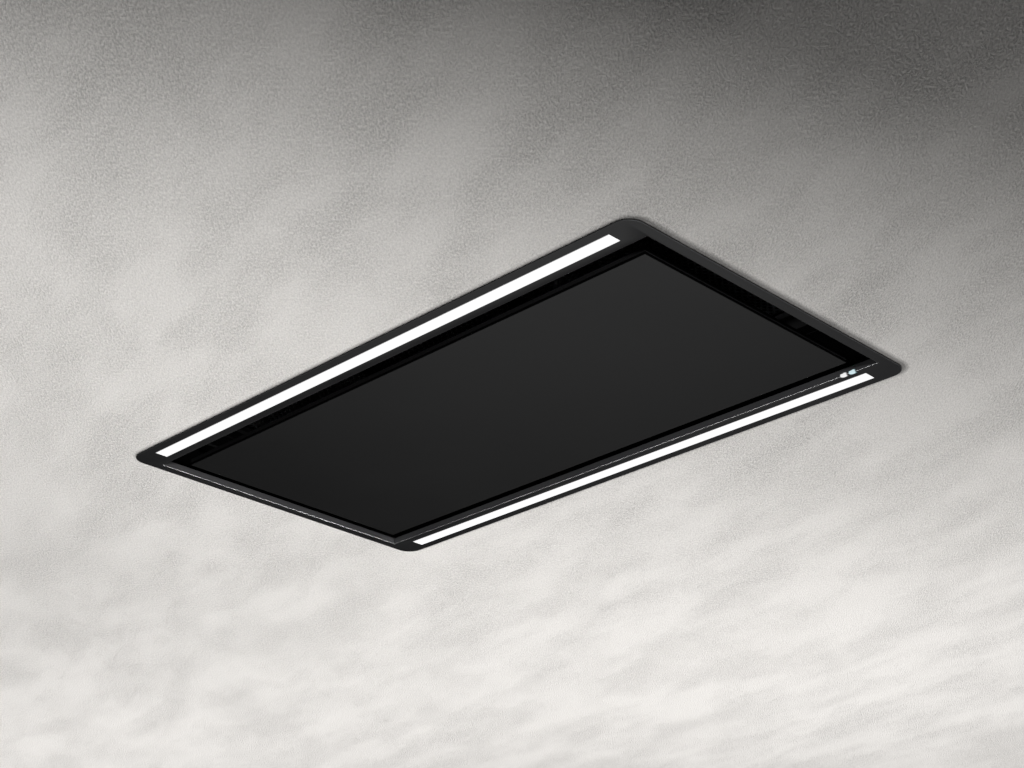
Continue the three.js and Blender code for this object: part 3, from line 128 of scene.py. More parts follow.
class Surface:
    """A procedural material: one principled shader and the nodes that feed it."""

    def __init__(self, name, color, roughness, metallic=0.0):
        self.material = bpy.data.materials.new(name)
        self.material.use_nodes = True
        self.tree = self.material.node_tree
        self.shader = self.tree.nodes["Principled BSDF"]
        self.set("Base Color", (*color, 1))
        self.set("Roughness", roughness)
        self.set("Metallic", metallic)
        self.place = self.add("ShaderNodeTexCoord").outputs["Object"]
        self.height = None

    def add(self, kind, **values):
        node = self.tree.nodes.new(kind)
        for name, value in values.items():
            setattr(node, name, value)
        return node

    def link(self, source, target):
        self.tree.links.new(source, target)

    def set(self, socket, value):
        self.shader.inputs[socket].default_value = value

    def stretched(self, scale, turn=0.0, place=None):
        """The place on the object, turned about Z and with each axis scaled."""
        node = self.add("ShaderNodeMapping", vector_type="TEXTURE")
        node.inputs["Rotation"].default_value = (0, 0, math.radians(turn))
        node.inputs["Scale"].default_value = tuple(1 / share for share in scale)
        self.link(place or self.place, node.inputs["Vector"])
        return node.outputs["Vector"]

    def noise(self, scale, detail, rough=0.55, place=None):
        node = self.add("ShaderNodeTexNoise")
        node.inputs["Scale"].default_value = scale
        node.inputs["Detail"].default_value = detail
        node.inputs["Roughness"].default_value = rough
        self.link(place or self.place, node.inputs["Vector"])
        return node.outputs["Fac"]

    def cells(self, scale):
        node = self.add("ShaderNodeTexVoronoi")
        node.inputs["Scale"].default_value = scale
        self.link(self.place, node.inputs["Vector"])
        return node

    def spread(self, value, low, high, start=0.3, end=0.7):
        """Maps a texture's middle range onto low to high."""
        node = self.add("ShaderNodeMapRange")
        sockets = ("From Min", "From Max", "To Min", "To Max")
        for name, number in zip(sockets, (start, end, low, high)):
            node.inputs[name].default_value = number
        self.link(value, node.inputs["Value"])
        return node.outputs["Result"]

    def product(self, first, second):
        node = self.add("ShaderNodeMath", operation="MULTIPLY")
        self.link(first, node.inputs[0])
        self.link(second, node.inputs[1])
        return node.outputs["Value"]

    def blend(self, value, dark, light, start=0.3, end=0.7):
        """A colour that goes from dark to light as a texture rises."""
        node = self.add("ShaderNodeMix", data_type="RGBA")
        node.inputs["A"].default_value = (*dark, 1)
        node.inputs["B"].default_value = (*light, 1)
        self.link(self.spread(value, 0, 1, start, end), node.inputs["Factor"])
        return node.outputs["Result"]

    def shade(self, value, dark, light, start=0.3, end=0.7):
        self.link(self.blend(value, dark, light, start, end), self.shader.inputs["Base Color"])

    def gloss(self, value, low, high, start=0.3, end=0.7):
        self.link(self.spread(value, low, high, start, end), self.shader.inputs["Roughness"])

    def relief(self, value, depth, strength):
        """Adds a bump of the given depth in metres, over any bump that is there already."""
        node = self.add("ShaderNodeBump")
        node.inputs["Strength"].default_value = strength
        node.inputs["Distance"].default_value = depth
        self.link(value, node.inputs["Height"])
        if self.height:
            self.link(self.height, node.inputs["Normal"])
        self.height = node.outputs["Normal"]
        self.link(self.height, self.shader.inputs["Normal"])


def scaled(color, share):
    return tuple(share * c for c in color)


def powder_coat(name, color, roughness, specular=0.5, depth=0.05 * MM):
    """Matt coat with the fine orange peel of baked powder."""
    coat = Surface(name, color, roughness)
    coat.set("Specular IOR Level", specular)
    cloud = coat.noise(9.0, 3)
    coat.shade(cloud, scaled(color, 0.9), scaled(color, 1.1))
    coat.gloss(cloud, roughness - 0.03, roughness + 0.03)
    coat.relief(coat.noise(1400, 2), depth, 0.5)
    return coat.material


def satin_panel():
    """The panel's near-black satin face: a smooth coat with a faint cloud in its gloss."""
    face = Surface("satin_panel", (0.008, 0.008, 0.0085), 0.24)
    face.set("Specular IOR Level", 0.4)
    face.gloss(face.noise(4.0, 3), 0.225, 0.255)
    face.shade(face.noise(2.5, 2), (0.0075, 0.0075, 0.008), (0.009, 0.009, 0.0095))
    face.relief(face.noise(3000, 2), 0.01 * MM, 0.3)
    return face.material


def galvanised():
    """Zinc-coated sheet: crystal patches that differ in tone and gloss."""
    zinc = Surface("galvanised", (0.5, 0.52, 0.53), 0.42, 0.85)
    separate = zinc.add("ShaderNodeSeparateColor")
    zinc.link(zinc.cells(95.0).outputs["Color"], separate.inputs["Color"])
    zinc.shade(separate.outputs["Red"], (0.43, 0.45, 0.46), (0.6, 0.62, 0.63), 0.0, 1.0)
    zinc.gloss(separate.outputs["Green"], 0.34, 0.52, 0.0, 1.0)
    zinc.relief(zinc.noise(260, 4), 0.06 * MM, 0.35)
    return zinc.material


def brushed(name, color, along=(6.0, 300.0, 300.0), roughness=0.3):
    """Metal with fine brush marks that run along X."""
    metal = Surface(name, color, roughness, 1.0)
    marks = metal.noise(5.0, 6, 0.7, metal.stretched(along))
    metal.shade(marks, scaled(color, 0.85), color)
    metal.gloss(marks, roughness - 0.06, roughness + 0.1)
    metal.relief(marks, 0.03 * MM, 0.4)
    return metal.material


def moulding(name, color, roughness=0.5):
    """Injection-moulded plastic with a spark-eroded grain."""
    plastic = Surface(name, color, roughness)
    plastic.relief(plastic.noise(900, 3), 0.06 * MM, 0.5)
    plastic.gloss(plastic.noise(30, 3), roughness - 0.05, roughness + 0.06)
    plastic.shade(plastic.noise(14, 2), scaled(color, 0.9), scaled(color, 1.1))
    return plastic.material


def opal_light():
    """Opal plastic lit from behind: a little uneven between its light sources, dim at its rim."""
    opal = Surface("opal_light", (0.9, 0.9, 0.9), 0.4)
    opal.set("Emission Strength", OPAL_GLOW)
    split = opal.add("ShaderNodeSeparateXYZ")
    opal.link(opal.place, split.inputs["Vector"])
    offset = split.outputs["Y"]
    for operation, number in (("ABSOLUTE", 0), ("SUBTRACT", STRIP_MIDDLE), ("ABSOLUTE", 0)):
        step = opal.add("ShaderNodeMath", operation=operation)
        step.inputs[1].default_value = number
        opal.link(offset, step.inputs[0])
        offset = step.outputs["Value"]
    lit = opal.spread(offset, 1, STRIP_RIM_GLOW, STRIP_HALF - DIM_START, STRIP_HALF - DIM_END)
    glow = opal.product(opal.spread(opal.noise(45, 1), 0.95, 1), lit)
    opal.link(opal.blend(glow, (0, 0, 0), (1, 1, 1), 0, 1), opal.shader.inputs["Emission Color"])
    opal.relief(opal.noise(700, 2), 0.02 * MM, 0.3)
    return opal.material


def lit_key(name, middle, edge):
    """A translucent key cap, bright where it wraps round the fold and dim towards its rim."""
    cap = Surface(name, scaled(middle, 0.15), 0.35)
    cap.set("Emission Strength", KEY_GLOW)
    from_fold = cap.add("ShaderNodeMapping", vector_type="POINT")
    from_fold.inputs["Location"].default_value = KEY_GLOW_SHIFT
    from_fold.inputs["Scale"].default_value = KEY_GLOW_SCALE
    cap.link(cap.add("ShaderNodeTexCoord").outputs["Generated"], from_fold.inputs["Vector"])
    falloff = cap.add("ShaderNodeTexGradient", gradient_type="SPHERICAL")
    cap.link(from_fold.outputs["Vector"], falloff.inputs["Vector"])
    glow = cap.blend(falloff.outputs["Fac"], edge, middle, 0, 0.3)
    cap.link(glow, cap.shader.inputs["Emission Color"])
    cap.relief(cap.noise(900, 2), 0.02 * MM, 0.3)
    return cap.material


def foam():
    cell = Surface("closed_cell_foam", (0.018, 0.018, 0.019), 0.92)
    pores = cell.cells(900).outputs["Distance"]
    cell.relief(pores, 0.2 * MM, 0.8)
    cell.shade(pores, (0.012, 0.012, 0.013), (0.03, 0.03, 0.031), 0.0, 0.8)
    return cell.material


def circuit_board():
    board = Surface("circuit_board", (0.012, 0.09, 0.04), 0.35)
    tracks = board.noise(240, 1, 0.5, board.stretched((1.0, 4.0, 1.0)))
    board.shade(tracks, (0.01, 0.07, 0.032), (0.03, 0.16, 0.07), 0.48, 0.52)
    board.relief(tracks, 0.04 * MM, 0.5)
    return board.material


def cable_sheath():
    sheath = Surface("cable_sheath", (0.2, 0.2, 0.205), 0.55)
    sheath.relief(sheath.noise(500, 3), 0.05 * MM, 0.5)
    sheath.shade(sheath.noise(60, 2), (0.17, 0.17, 0.175), (0.23, 0.23, 0.235))
    return sheath.material


OPAL_GLOW = 1.03
STRIP_MIDDLE = 258.75 * MM  # from the hood's middle line
STRIP_HALF = 10.4 * MM
STRIP_RIM_GLOW = 0.2
DIM_START, DIM_END = 0.9 * MM, 0.3 * MM  # inside the strip's edge
KEY_GLOW = 1.0
KEY_GLOW_SHIFT = (-0.85, 0, 0)  # these two in shares of the key's box
KEY_GLOW_SCALE = (1.7, 0.95, 0.8)

COATED = powder_coat("frame_coat", (0.009, 0.009, 0.0095), 0.4, 0.4)
# Darker copy of the frame's coat for its flange: painted shade.
SHADED_FLANGE_COAT = powder_coat("flange_coat_painted_shade", (0.0015, 0.0015, 0.0016), 0.2, 0.35)
# Lighter, glossier copy for the frame's folds: the lighter colour is a painted highlight along
# each bend, the gloss is the bend's smoother coat.
FOLD_COAT_AND_HIGHLIGHT = powder_coat("fold_coat_and_highlight", (0.012, 0.012, 0.0125), 0.24, 1.0, depth=0)
TRAY = powder_coat("tray_coat", (0.008, 0.008, 0.0085), 0.55, 0.3)
# Near-black coat, darker than the frame's own black: on the hood's inner faces, filter deck and
# ledge it is partly real black paint and partly painted shade; on the frame's rim it is painted
# shade.
INNER_COAT_AND_SHADE = powder_coat("inner_coat_and_shade", (0.004, 0.004, 0.0042), 0.75, 0.15)
PANEL = satin_panel()
ZINC = galvanised()
STAINLESS = brushed("stainless", (0.6, 0.6, 0.61))
# Darkened steel for the filter frames: painted shade, so they stay dark inside the hood.
SHADE_DARKENED_STEEL = brushed("shade_darkened_steel", (0.045, 0.045, 0.047))
ALUMINIUM = brushed("aluminium", (0.66, 0.67, 0.68), (4.0, 220.0, 220.0), 0.34)
BLACK_MOULD = moulding("black_mould", (0.017, 0.017, 0.018))
GREY_MOULD = moulding("grey_mould", (0.1, 0.104, 0.108), 0.45)
OPAL = opal_light()
WHITE_KEY = lit_key("white_key", (0.86, 0.86, 0.86), (0.04, 0.04, 0.04))
BLUE_KEY = lit_key("blue_key", (0.61, 0.76, 0.8), (0.03, 0.09, 0.1))
FOAM = foam()
BOARD = circuit_board()
MAGNET = powder_coat("magnet_coat", (0.03, 0.03, 0.033), 0.4)
SHEATH = cable_sheath()

SLOT_SURFACES = {
    "coated_steel": COATED,
    "dark_panel": PANEL,
    "galvanised_sheet": ZINC,
    "stainless": STAINLESS,
    "aluminium": ALUMINIUM,
    "opal_diffuser": OPAL,
    "white_key": WHITE_KEY,
    "blue_key": BLUE_KEY,
    "black_mould": BLACK_MOULD,
    "grey_mould": GREY_MOULD,
    "circuit_board": BOARD,
    "foam": FOAM,
    "magnet": MAGNET,
    "lead_sheath": SHEATH,
}


# ---------------------------------------------------------------------------------------------
# Finishes of the CAD nodes
# ---------------------------------------------------------------------------------------------

LEADS = ("motor_lead", "light_lead_left", "light_lead_right")
WALLS = ("side_wall_left", "side_wall_right", "end_wall_duct", "end_wall_control")
INNER_NODES = ("filter_deck", "filter_ledge")
FILTER_FRAMES = ("filter_frame_1", "filter_frame_2", "filter_frame_3")
EDGE_RADIUS = 0.25 * MM
WELD_REACH = 0.01 * MM
FLAT = math.radians(0.5)
SHARP = math.radians(35)
FASTENER_SHARP = math.radians(30)


def inside_the_hood(face):
    """Whether a face of a wall is on its inner side, swages included."""
    x, y = abs(face.center.x), abs(face.center.y)
    if x < WALL_IN_X + WALL_SHEET / 2 and y < WALL_IN_Y + WALL_SHEET / 2:
        return True
    outward = face.normal.x * face.center.x if x > WALL_IN_X else face.normal.y * face.center.y
    return outward < 0


def round_edges(node):
    """Rounds the sharp edges of a node or a piece."""
    soft = node.modifiers.new("soft_edges", "BEVEL")
    soft.width = EDGE_RADIUS
    soft.segments = 2
    soft.limit_method = "ANGLE"
    soft.angle_limit = SHARP
    soft.harden_normals = True
    return soft


def add_weld(node):
    node.modifiers.new("weld", "WELD").merge_threshold = WELD_REACH


def soften(node):
    """Merges flat triangles and rounds the sharp edges that are left."""
    add_weld(node)
    flat = node.modifiers.new("flat", "DECIMATE")
    flat.decimate_type = "DISSOLVE"
    flat.angle_limit = FLAT
    flat.delimit = {"MATERIAL"}
    round_edges(node)


def finish_nodes():
    """Gives every CAD node its material, soft edges and smooth round faces."""
    for part in frame["record"]["subparts"]:
        node = nodes[part["node"]]
        mesh = node.data
        mesh.materials.clear()
        mesh.materials.append(SLOT_SURFACES[part["material_slot"]])
        for name in ("custom_normal", "sharp_face", "sharp_edge"):
            if name in mesh.attributes:
                mesh.attributes.remove(mesh.attributes[name])
        mesh.polygons.foreach_set("use_smooth", [True] * len(mesh.polygons))
        indices = [0] * len(mesh.polygons)
        # The walls' inner faces take the near-black inner coat: partly real paint, partly painted
        # shade inside the hood.
        if part["node"] in WALLS:
            mesh.materials.append(INNER_COAT_AND_SHADE)
            indices = [int(inside_the_hood(face)) for face in mesh.polygons]
        mesh.polygons.foreach_set("material_index", indices)
        if part["node"] in LEADS:
            add_weld(node)
            rounder = node.modifiers.new("round", "SUBSURF")
            rounder.levels = rounder.render_levels = 2
        else:
            soften(node)
    nodes["panel_tray"].data.materials[0] = TRAY
    # The filter deck and ledge take the same near-black coat: partly real paint, partly painted
    # shade.
    for name in INNER_NODES:
        nodes[name].data.materials[0] = INNER_COAT_AND_SHADE
    # The filter frames take the darkened steel: painted shade.
    for name in FILTER_FRAMES:
        nodes[name].data.materials[0] = SHADE_DARKENED_STEEL


finish_nodes()


# ---------------------------------------------------------------------------------------------
# Mesh helpers
# ---------------------------------------------------------------------------------------------


def make_piece(name, made, surface, body, smooth=True):
    """Turns a bmesh into a piece that rides on a body."""
    bmesh.ops.recalc_face_normals(made, faces=made.faces)
    mesh = bpy.data.meshes.new(name)
    made.to_mesh(mesh)
    made.free()
    mesh.polygons.foreach_set("use_smooth", [smooth] * len(mesh.polygons))
    mesh.materials.append(surface)
    piece = bpy.data.objects.new(name, mesh)
    scene.collection.objects.link(piece)
    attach(piece, body)
    return piece


def add_revolved(made, profile, place, axis, segments=16):
    """A closed body of [radius, height] pairs turned about an axis from a place on it."""
    turn = Vector((0, 0, 1)).rotation_difference(Vector(axis)).to_matrix()
    rings = []
    for radius, height in profile:
        count = segments if radius else 1
        ring = []
        for i in range(count):
            angle = 2 * math.pi * i / count
            local = Vector((radius * math.cos(angle), radius * math.sin(angle), height))
            ring.append(made.verts.new(Vector(place) + turn @ local))
        rings.append(ring)
    for low, high in zip(rings, rings[1:]):
        for i in range(segments):
            a, b = low[i % len(low)], low[(i + 1) % len(low)]
            c, d = high[(i + 1) % len(high)], high[i % len(high)]
            corners = list(dict.fromkeys((a, b, c, d)))
            if len(corners) > 2:
                made.faces.new(corners)


# Corners of a block's six sides. Bits 0, 1 and 2 of a corner's number are its x, y and z.
BLOCK_SIDES = ((0, 2, 3, 1), (4, 5, 7, 6), (0, 1, 5, 4), (2, 6, 7, 3), (0, 4, 6, 2), (1, 3, 7, 5))


def add_block(made, low, high):
    """A block between two corners."""
    x, y, z = zip(low, high)
    corners = [made.verts.new((x[i & 1], y[i >> 1 & 1], z[i >> 2 & 1])) for i in range(8)]
    for side in BLOCK_SIDES:
        made.faces.new([corners[i] for i in side])


# ---------------------------------------------------------------------------------------------
# Frame with round folds
# ---------------------------------------------------------------------------------------------

FOLD_RADIUS = 1.75 * MM
FOLD_STEPS = 6
# Material numbers on the frame: its plain coat on the lip, darker copies as painted shade on the
# flange and the rim, a lighter copy as a painted highlight on the folds.
LIP_FINISH, SHADED_FLANGE, FOLD_HIGHLIGHT, SHADED_RIM = range(4)
NEAR = 0.05 * MM
LEVEL = 0.99  # least upright share of a level face's normal


def on_a_fold(edge):
    """Whether an edge lies where the flange folds up into the lip."""
    low = all(abs(vertex.co.z - frame_low.z) < NEAR for vertex in edge.verts)
    along_y = all(abs(abs(vertex.co.x) - LIP_X) < NEAR for vertex in edge.verts)
    along_x = all(abs(abs(vertex.co.y) - LIP_Y) < NEAR for vertex in edge.verts)
    return low and (along_x or along_y)


def frame_coat_and_shade(face):
    """Material number of a frame face that isn't part of a fold: the plain coat on the lip,
    painted shade on the flange and on the rim.
    """
    if abs(face.normal.z) > LEVEL:
        return SHADED_FLANGE
    middle = face.calc_center_median()
    outside = abs(middle.x) > WALL_OUT_X or abs(middle.y) > WALL_OUT_Y
    return SHADED_RIM if outside else LIP_FINISH


def folded_frame():
    """The frame once more, with the round of a pressed bend along its four folds, painted shade on
    its flange and rim and a painted highlight on its folds.
    """
    made = bmesh.new()
    made.from_mesh(nodes["trim_frame"].data)
    bmesh.ops.remove_doubles(made, verts=made.verts, dist=NEAR)
    bmesh.ops.dissolve_limit(made, angle_limit=FLAT, verts=made.verts, edges=made.edges)
    folds = [edge for edge in made.edges if on_a_fold(edge)]
    rounded = bmesh.ops.bevel(
        made,
        geom=folds,
        offset=FOLD_RADIUS,
        offset_type="OFFSET",
        segments=FOLD_STEPS,
        profile=0.5,
        affect="EDGES",
        clamp_overlap=True,
    )
    for face in made.faces:
        face.normal_update()
        face.material_index = frame_coat_and_shade(face)
    # The folds take the lighter coat: a painted highlight.
    for face in rounded["faces"]:
        face.material_index = FOLD_HIGHLIGHT
    piece = make_piece("folded_frame", made, COATED, "root")
    for coat in (SHADED_FLANGE_COAT, FOLD_COAT_AND_HIGHLIGHT, INNER_COAT_AND_SHADE):
        piece.data.materials.append(coat)
    # The frame's rounded edges take the rim's near-black coat: painted shade.
    round_edges(piece).material = SHADED_RIM
    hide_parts("trim_frame")
    return piece


FRAME_PIECE = folded_frame()


# ---------------------------------------------------------------------------------------------
# Cover over the keys' board
# ---------------------------------------------------------------------------------------------

COVER_HALF = 23 * MM
COVER_DEPTH = 8.9 * MM
COVER_TOP = 20 * MM
COVER_WALL = 1 * MM
COVER_GAP = 0.3 * MM
COVER_EDGE = 0.3 * MM


def key_cover():
    """A moulded cap outside the wall, open towards the keys and closed all round them."""
    keys = [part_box(name) for name in ("light_key", "power_key")]
    middle = (min(low.x for low, _ in keys) + max(high.x for _, high in keys)) / 2
    wall = WALL_OUT_Y + COVER_GAP
    low = (middle - COVER_HALF, wall, frame_low.z + FRAME_SHEET + COVER_GAP)
    high = (middle + COVER_HALF, wall + COVER_DEPTH, COVER_TOP)
    made = bmesh.new()
    add_block(made, low, high)
    wall_side = [face for face in made.faces if face.calc_center_median().y < low[1] + NEAR]
    floor = [face for face in made.faces if face.calc_center_median().z < low[2] + NEAR]
    bmesh.ops.delete(made, geom=wall_side + floor, context="FACES")
    piece = make_piece("key_cover", made, BLACK_MOULD, "root", smooth=False)
    shell = piece.modifiers.new("wall", "SOLIDIFY")
    shell.thickness = COVER_WALL
    shell.offset = -1
    shell.use_even_offset = True
    soft = piece.modifiers.new("soft_edges", "BEVEL")
    soft.width = COVER_EDGE
    soft.segments = 2


key_cover()


# ---------------------------------------------------------------------------------------------
# Filter meshes
# ---------------------------------------------------------------------------------------------

STRAND_STEP = 5 * MM  # along a strand, from one crest to the next hollow
STRAND_ROW = 7 * MM
STRAND_WIDTH = 1.5 * MM
STRAND_SHEET = 0.5 * MM
STRAND_TILT = 0.5 * MM
FILTER_LAYERS = 3


def expanded_metal(low, high):
    """Layers of zig-zag strands that meet crest to hollow, each layer set off from the last."""
    made = bmesh.new()
    columns = int((high.x - low.x) / STRAND_STEP)
    rows = int((high.y - low.y) / STRAND_ROW)
    for layer in range(FILTER_LAYERS):
        z = low.z + (high.z - low.z) * (layer + 0.5) / FILTER_LAYERS
        flip = 1 - 2 * (layer % 2)
        for row in range(rows):
            y0 = low.y + STRAND_ROW * (row + 0.75 - 0.25 * flip)
            sections = []
            for column in range(columns + 1):
                x = low.x + STRAND_STEP * column
                crest = flip * (1 - 2 * ((row + column) % 2))
                y = y0 + crest * (STRAND_ROW - STRAND_WIDTH) / 2
                lean = STRAND_TILT * crest
                half, thick = STRAND_WIDTH / 2, STRAND_SHEET / 2
                sections.append([
                    made.verts.new((x, y - half, z - thick - lean)),
                    made.verts.new((x, y + half, z - thick + lean)),
                    made.verts.new((x, y + half, z + thick + lean)),
                    made.verts.new((x, y - half, z + thick - lean)),
                ])
            for first, second in zip(sections, sections[1:]):
                for i in range(4):
                    made.faces.new((first[i], first[(i + 1) % 4], second[(i + 1) % 4], second[i]))
            made.faces.new(sections[0])
            made.faces.new(sections[-1][::-1])
    return made


def filter_meshes():
    for number, body in ((1, "filter_a"), (2, "filter_b"), (3, "filter_c")):
        node = f"filter_mesh_{number}"
        name = f"expanded_mesh_{number}"
        made = expanded_metal(*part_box(node))
        piece = make_piece(name, made, ALUMINIUM, body, smooth=False)
        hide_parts(node)


filter_meshes()


# ---------------------------------------------------------------------------------------------
# Screws, rivets and lead clips
# ---------------------------------------------------------------------------------------------

RIVET = [(0, 1.3), (1.0, 1.3), (1.15, 1.0), (1.3, 1.25), (2.3, 0.9), (3.1, 0.0)]
WASHER_HEAD = [(1.5, 2.6), (1.8, 2.9), (3.0, 2.9), (3.5, 2.4), (3.5, 0.9), (5.2, 0.8), (5.4, 0.0)]
HEX_SIDES = 6


def add_rivet(made, place, axis):
    add_revolved(made, [(r * MM, h * MM) for r, h in RIVET] + [(0, 0)], place, axis)


def add_screw(made, place, axis):
    """A hexagon head with a dished top, on a round washer face."""
    hexagon = [(0, 2.2), *WASHER_HEAD[:5], (0, 0.9)]
    washer = [(0, 0.9), *WASHER_HEAD[5:], (0, 0)]
    add_revolved(made, [(r * MM, h * MM) for r, h in hexagon], place, axis, HEX_SIDES)
    add_revolved(made, [(r * MM, h * MM) for r, h in washer], place, axis)


def fasteners(name, add, places, axis, body="root"):
    """One piece that holds all fasteners of a row or a ring."""
    made = bmesh.new()
    for place in places:
        add(made, place, axis)
    piece = make_piece(name, made, STAINLESS, body)
    piece.data.set_sharp_from_angle(angle=FASTENER_SHARP)


def evenly(half, count):
    """Places from -half to half."""
    return [half * (2 * i / (count - 1) - 1) for i in range(count)]


CORNER_RIVET_INSET = 7.5 * MM
CORNER_RIVET_LEVELS = (0.16, 0.38, 0.6, 0.82)  # shares of the wall's height
RIM_RIVET_RISE = 7 * MM
END_RIVETS = (190 * MM, 3)  # half of the row, and how many
SIDE_RIVETS = (440 * MM, 6)
HANGER_SCREW_HALF = 11 * MM
HANGER_SCREW_LEVELS = (0.2, 0.62)  # shares of the hanger's height
FLANGE_FACE = 2.3 * MM  # from the wall to the outer face of a hanger or the collar
COLLAR_RIVET_INSET = 5 * MM
COLLAR_RIVETS = 6
HINGE_RIVET_SIDE = 6 * MM
HINGE_SHEET = 2 * MM
BRACKET_RIVET_INSET = 5 * MM
LEAF_RIVET_INSET = 8 * MM


def housing_fasteners():
    height = wall_high.z - wall_low.z
    levels = [wall_low.z + share * height for share in CORNER_RIVET_LEVELS]
    corner_y = WALL_IN_Y - CORNER_RIVET_INSET
    rim_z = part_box("housing_top")[0].z + RIM_RIVET_RISE
    for side, end in ((-1, "duct"), (1, "control")):
        places = [(side * WALL_OUT_X, y, z) for y in (-corner_y, corner_y) for z in levels]
        fasteners(f"corner_rivets_{end}", add_rivet, places, (side, 0, 0))
        places = [(side * top_high.x, y, rim_z) for y in evenly(*END_RIVETS)]
        fasteners(f"rim_rivets_{end}", add_rivet, places, (side, 0, 0))
    for side, name in ((-1, "left"), (1, "right")):
        places = [(x, side * top_high.y, rim_z) for x in evenly(*SIDE_RIVETS)]
        fasteners(f"rim_rivets_{name}", add_rivet, places, (0, side, 0))
        screws = []
        for end in ("duct", "control"):
            low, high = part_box(f"hanger_{name}_{end}")
            middle = (low.x + high.x) / 2
            leg = side * (WALL_OUT_Y + FLANGE_FACE)
            screws += [
                (middle + x, leg, low.z + share * (high.z - low.z))
                for x in (-HANGER_SCREW_HALF, HANGER_SCREW_HALF)
                for share in HANGER_SCREW_LEVELS
            ]
        fasteners(f"hanger_screws_{name}", add_screw, screws, (0, side, 0))


def collar_rivets():
    centre = (collar_low + collar_high) / 2
    radius = (collar_high.z - collar_low.z) / 2 - COLLAR_RIVET_INSET
    places = []
    for i in range(COLLAR_RIVETS):
        angle = 2 * math.pi * (i + 0.5) / COLLAR_RIVETS
        y, z = centre.y + radius * math.cos(angle), centre.z + radius * math.sin(angle)
        places.append((-WALL_OUT_X - FLANGE_FACE, y, z))
    fasteners("collar_rivets", add_rivet, places, (-1, 0, 0))


def hinge_rivets():
    brackets, leaves = [], []
    for end in ("duct", "control"):
        low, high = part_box(f"panel_hinge_bracket_{end}")
        for x in (low.x + HINGE_RIVET_SIDE, high.x - HINGE_RIVET_SIDE):
            brackets.append((x, low.y + BRACKET_RIVET_INSET, high.z - HINGE_SHEET))
        low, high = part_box(f"panel_hinge_leaf_{end}")
        for x in (low.x + HINGE_RIVET_SIDE, high.x - HINGE_RIVET_SIDE):
            leaves.append((x, high.y - LEAF_RIVET_INSET, low.z + HINGE_SHEET))
    fasteners("bracket_rivets", add_rivet, brackets, (0, 0, -1))
    fasteners("leaf_rivets", add_rivet, leaves, (0, 0, 1), "panel")


CLIP_WIDTH = 9 * MM
CLIP_SHEET = 0.8 * MM
CLIP_TAB = 11 * MM
CLIP_STEPS = 8
CLIP_LEVELS = (60 * MM, 130 * MM, 200 * MM)
CLIP_FIT = 0.1 * MM
LEAD_RADIUS = 2 * MM
LEAD_STANDOFF = 5 * MM


def lead_clips():
    """Saddle clips that hold each light lead against the outside of its side wall."""
    lead_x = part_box("light_lead_right")[1].x - LEAD_RADIUS
    radius = LEAD_RADIUS + CLIP_FIT
    outline = [(-radius - CLIP_TAB, 0.0), (-radius, 0.0)]
    for i in range(CLIP_STEPS + 1):
        angle = math.pi * (1 - i / CLIP_STEPS)
        outline.append((radius * math.cos(angle), LEAD_STANDOFF + radius * math.sin(angle)))
    outline.append((radius, 0.0))
    for side, name in ((-1, "left"), (1, "right")):
        made = bmesh.new()
        for level in CLIP_LEVELS:
            rows = []
            for z in (level - CLIP_WIDTH / 2, level + CLIP_WIDTH / 2):
                y0 = WALL_OUT_Y + CLIP_SHEET
                rows.append([made.verts.new((lead_x + x, side * (y0 + y), z)) for x, y in outline])
            for i in range(len(outline) - 1):
                made.faces.new((rows[0][i], rows[0][i + 1], rows[1][i + 1], rows[1][i]))
        piece = make_piece(f"lead_clips_{name}", made, BLACK_MOULD, "root")
        shell = piece.modifiers.new("sheet", "SOLIDIFY")
        shell.thickness = CLIP_SHEET
        shell.offset = 0
        tab = (lead_x - radius - CLIP_TAB / 2, side * (WALL_OUT_Y + 1.5 * CLIP_SHEET))
        places = [(*tab, z) for z in CLIP_LEVELS]
        fasteners(f"clip_rivets_{name}", add_rivet, places, (0, side, 0))


housing_fasteners()
collar_rivets()
hinge_rivets()
lead_clips()


# ---------------------------------------------------------------------------------------------
# Ceiling
# ---------------------------------------------------------------------------------------------

CEILING_REACH = 14.0
CUT_OUT = (491 * MM, 273 * MM)  # half of it
FRAME_CORNER = 24 * MM
# A soft shadow is painted into the ceiling's colour round the frame, shifted a little towards +X.
PAINTED_SHADOW_SHIFT = (4 * MM, 1 * MM, 0)
PAINTED_SHADOW_REACH = 8 * MM
PAINTED_SHADOW_DEPTH = 0.4  # share of the ceiling's tone that the painted shadow leaves at the frame's edge
PLASTER_DEEP = (0.47, 0.454, 0.438)
PLASTER_PALE = (0.85, 0.824, 0.792)
TROWEL_TURN = -35  # degrees
GRAIN_SCALE = 430
GRAIN_TONE = 0.38
GRAIN_DEPTH = 0.75 * MM
GROUND_SCALE = 9
GROUND_DEPTH = 2.2 * MM


def off_the_frame(coat):
    """Distance from a rectangle inside the frame, FRAME_CORNER from its shifted outline, which
    places the shadow painted round the frame.
    """
    value = coat.place
    for operation, vector in (
        ("SUBTRACT", PAINTED_SHADOW_SHIFT),
        ("MULTIPLY", (1, 1, 0)),
        ("ABSOLUTE", (0, 0, 0)),
        ("SUBTRACT", (frame_high.x - FRAME_CORNER, frame_high.y - FRAME_CORNER, 0)),
        ("MAXIMUM", (0, 0, 0)),
        ("LENGTH", (0, 0, 0)),
    ):
        step = coat.add("ShaderNodeVectorMath", operation=operation)
        step.inputs[1].default_value = vector
        coat.link(value, step.inputs[0])
        value = step.outputs["Value" if operation == "LENGTH" else "Vector"]
    return value


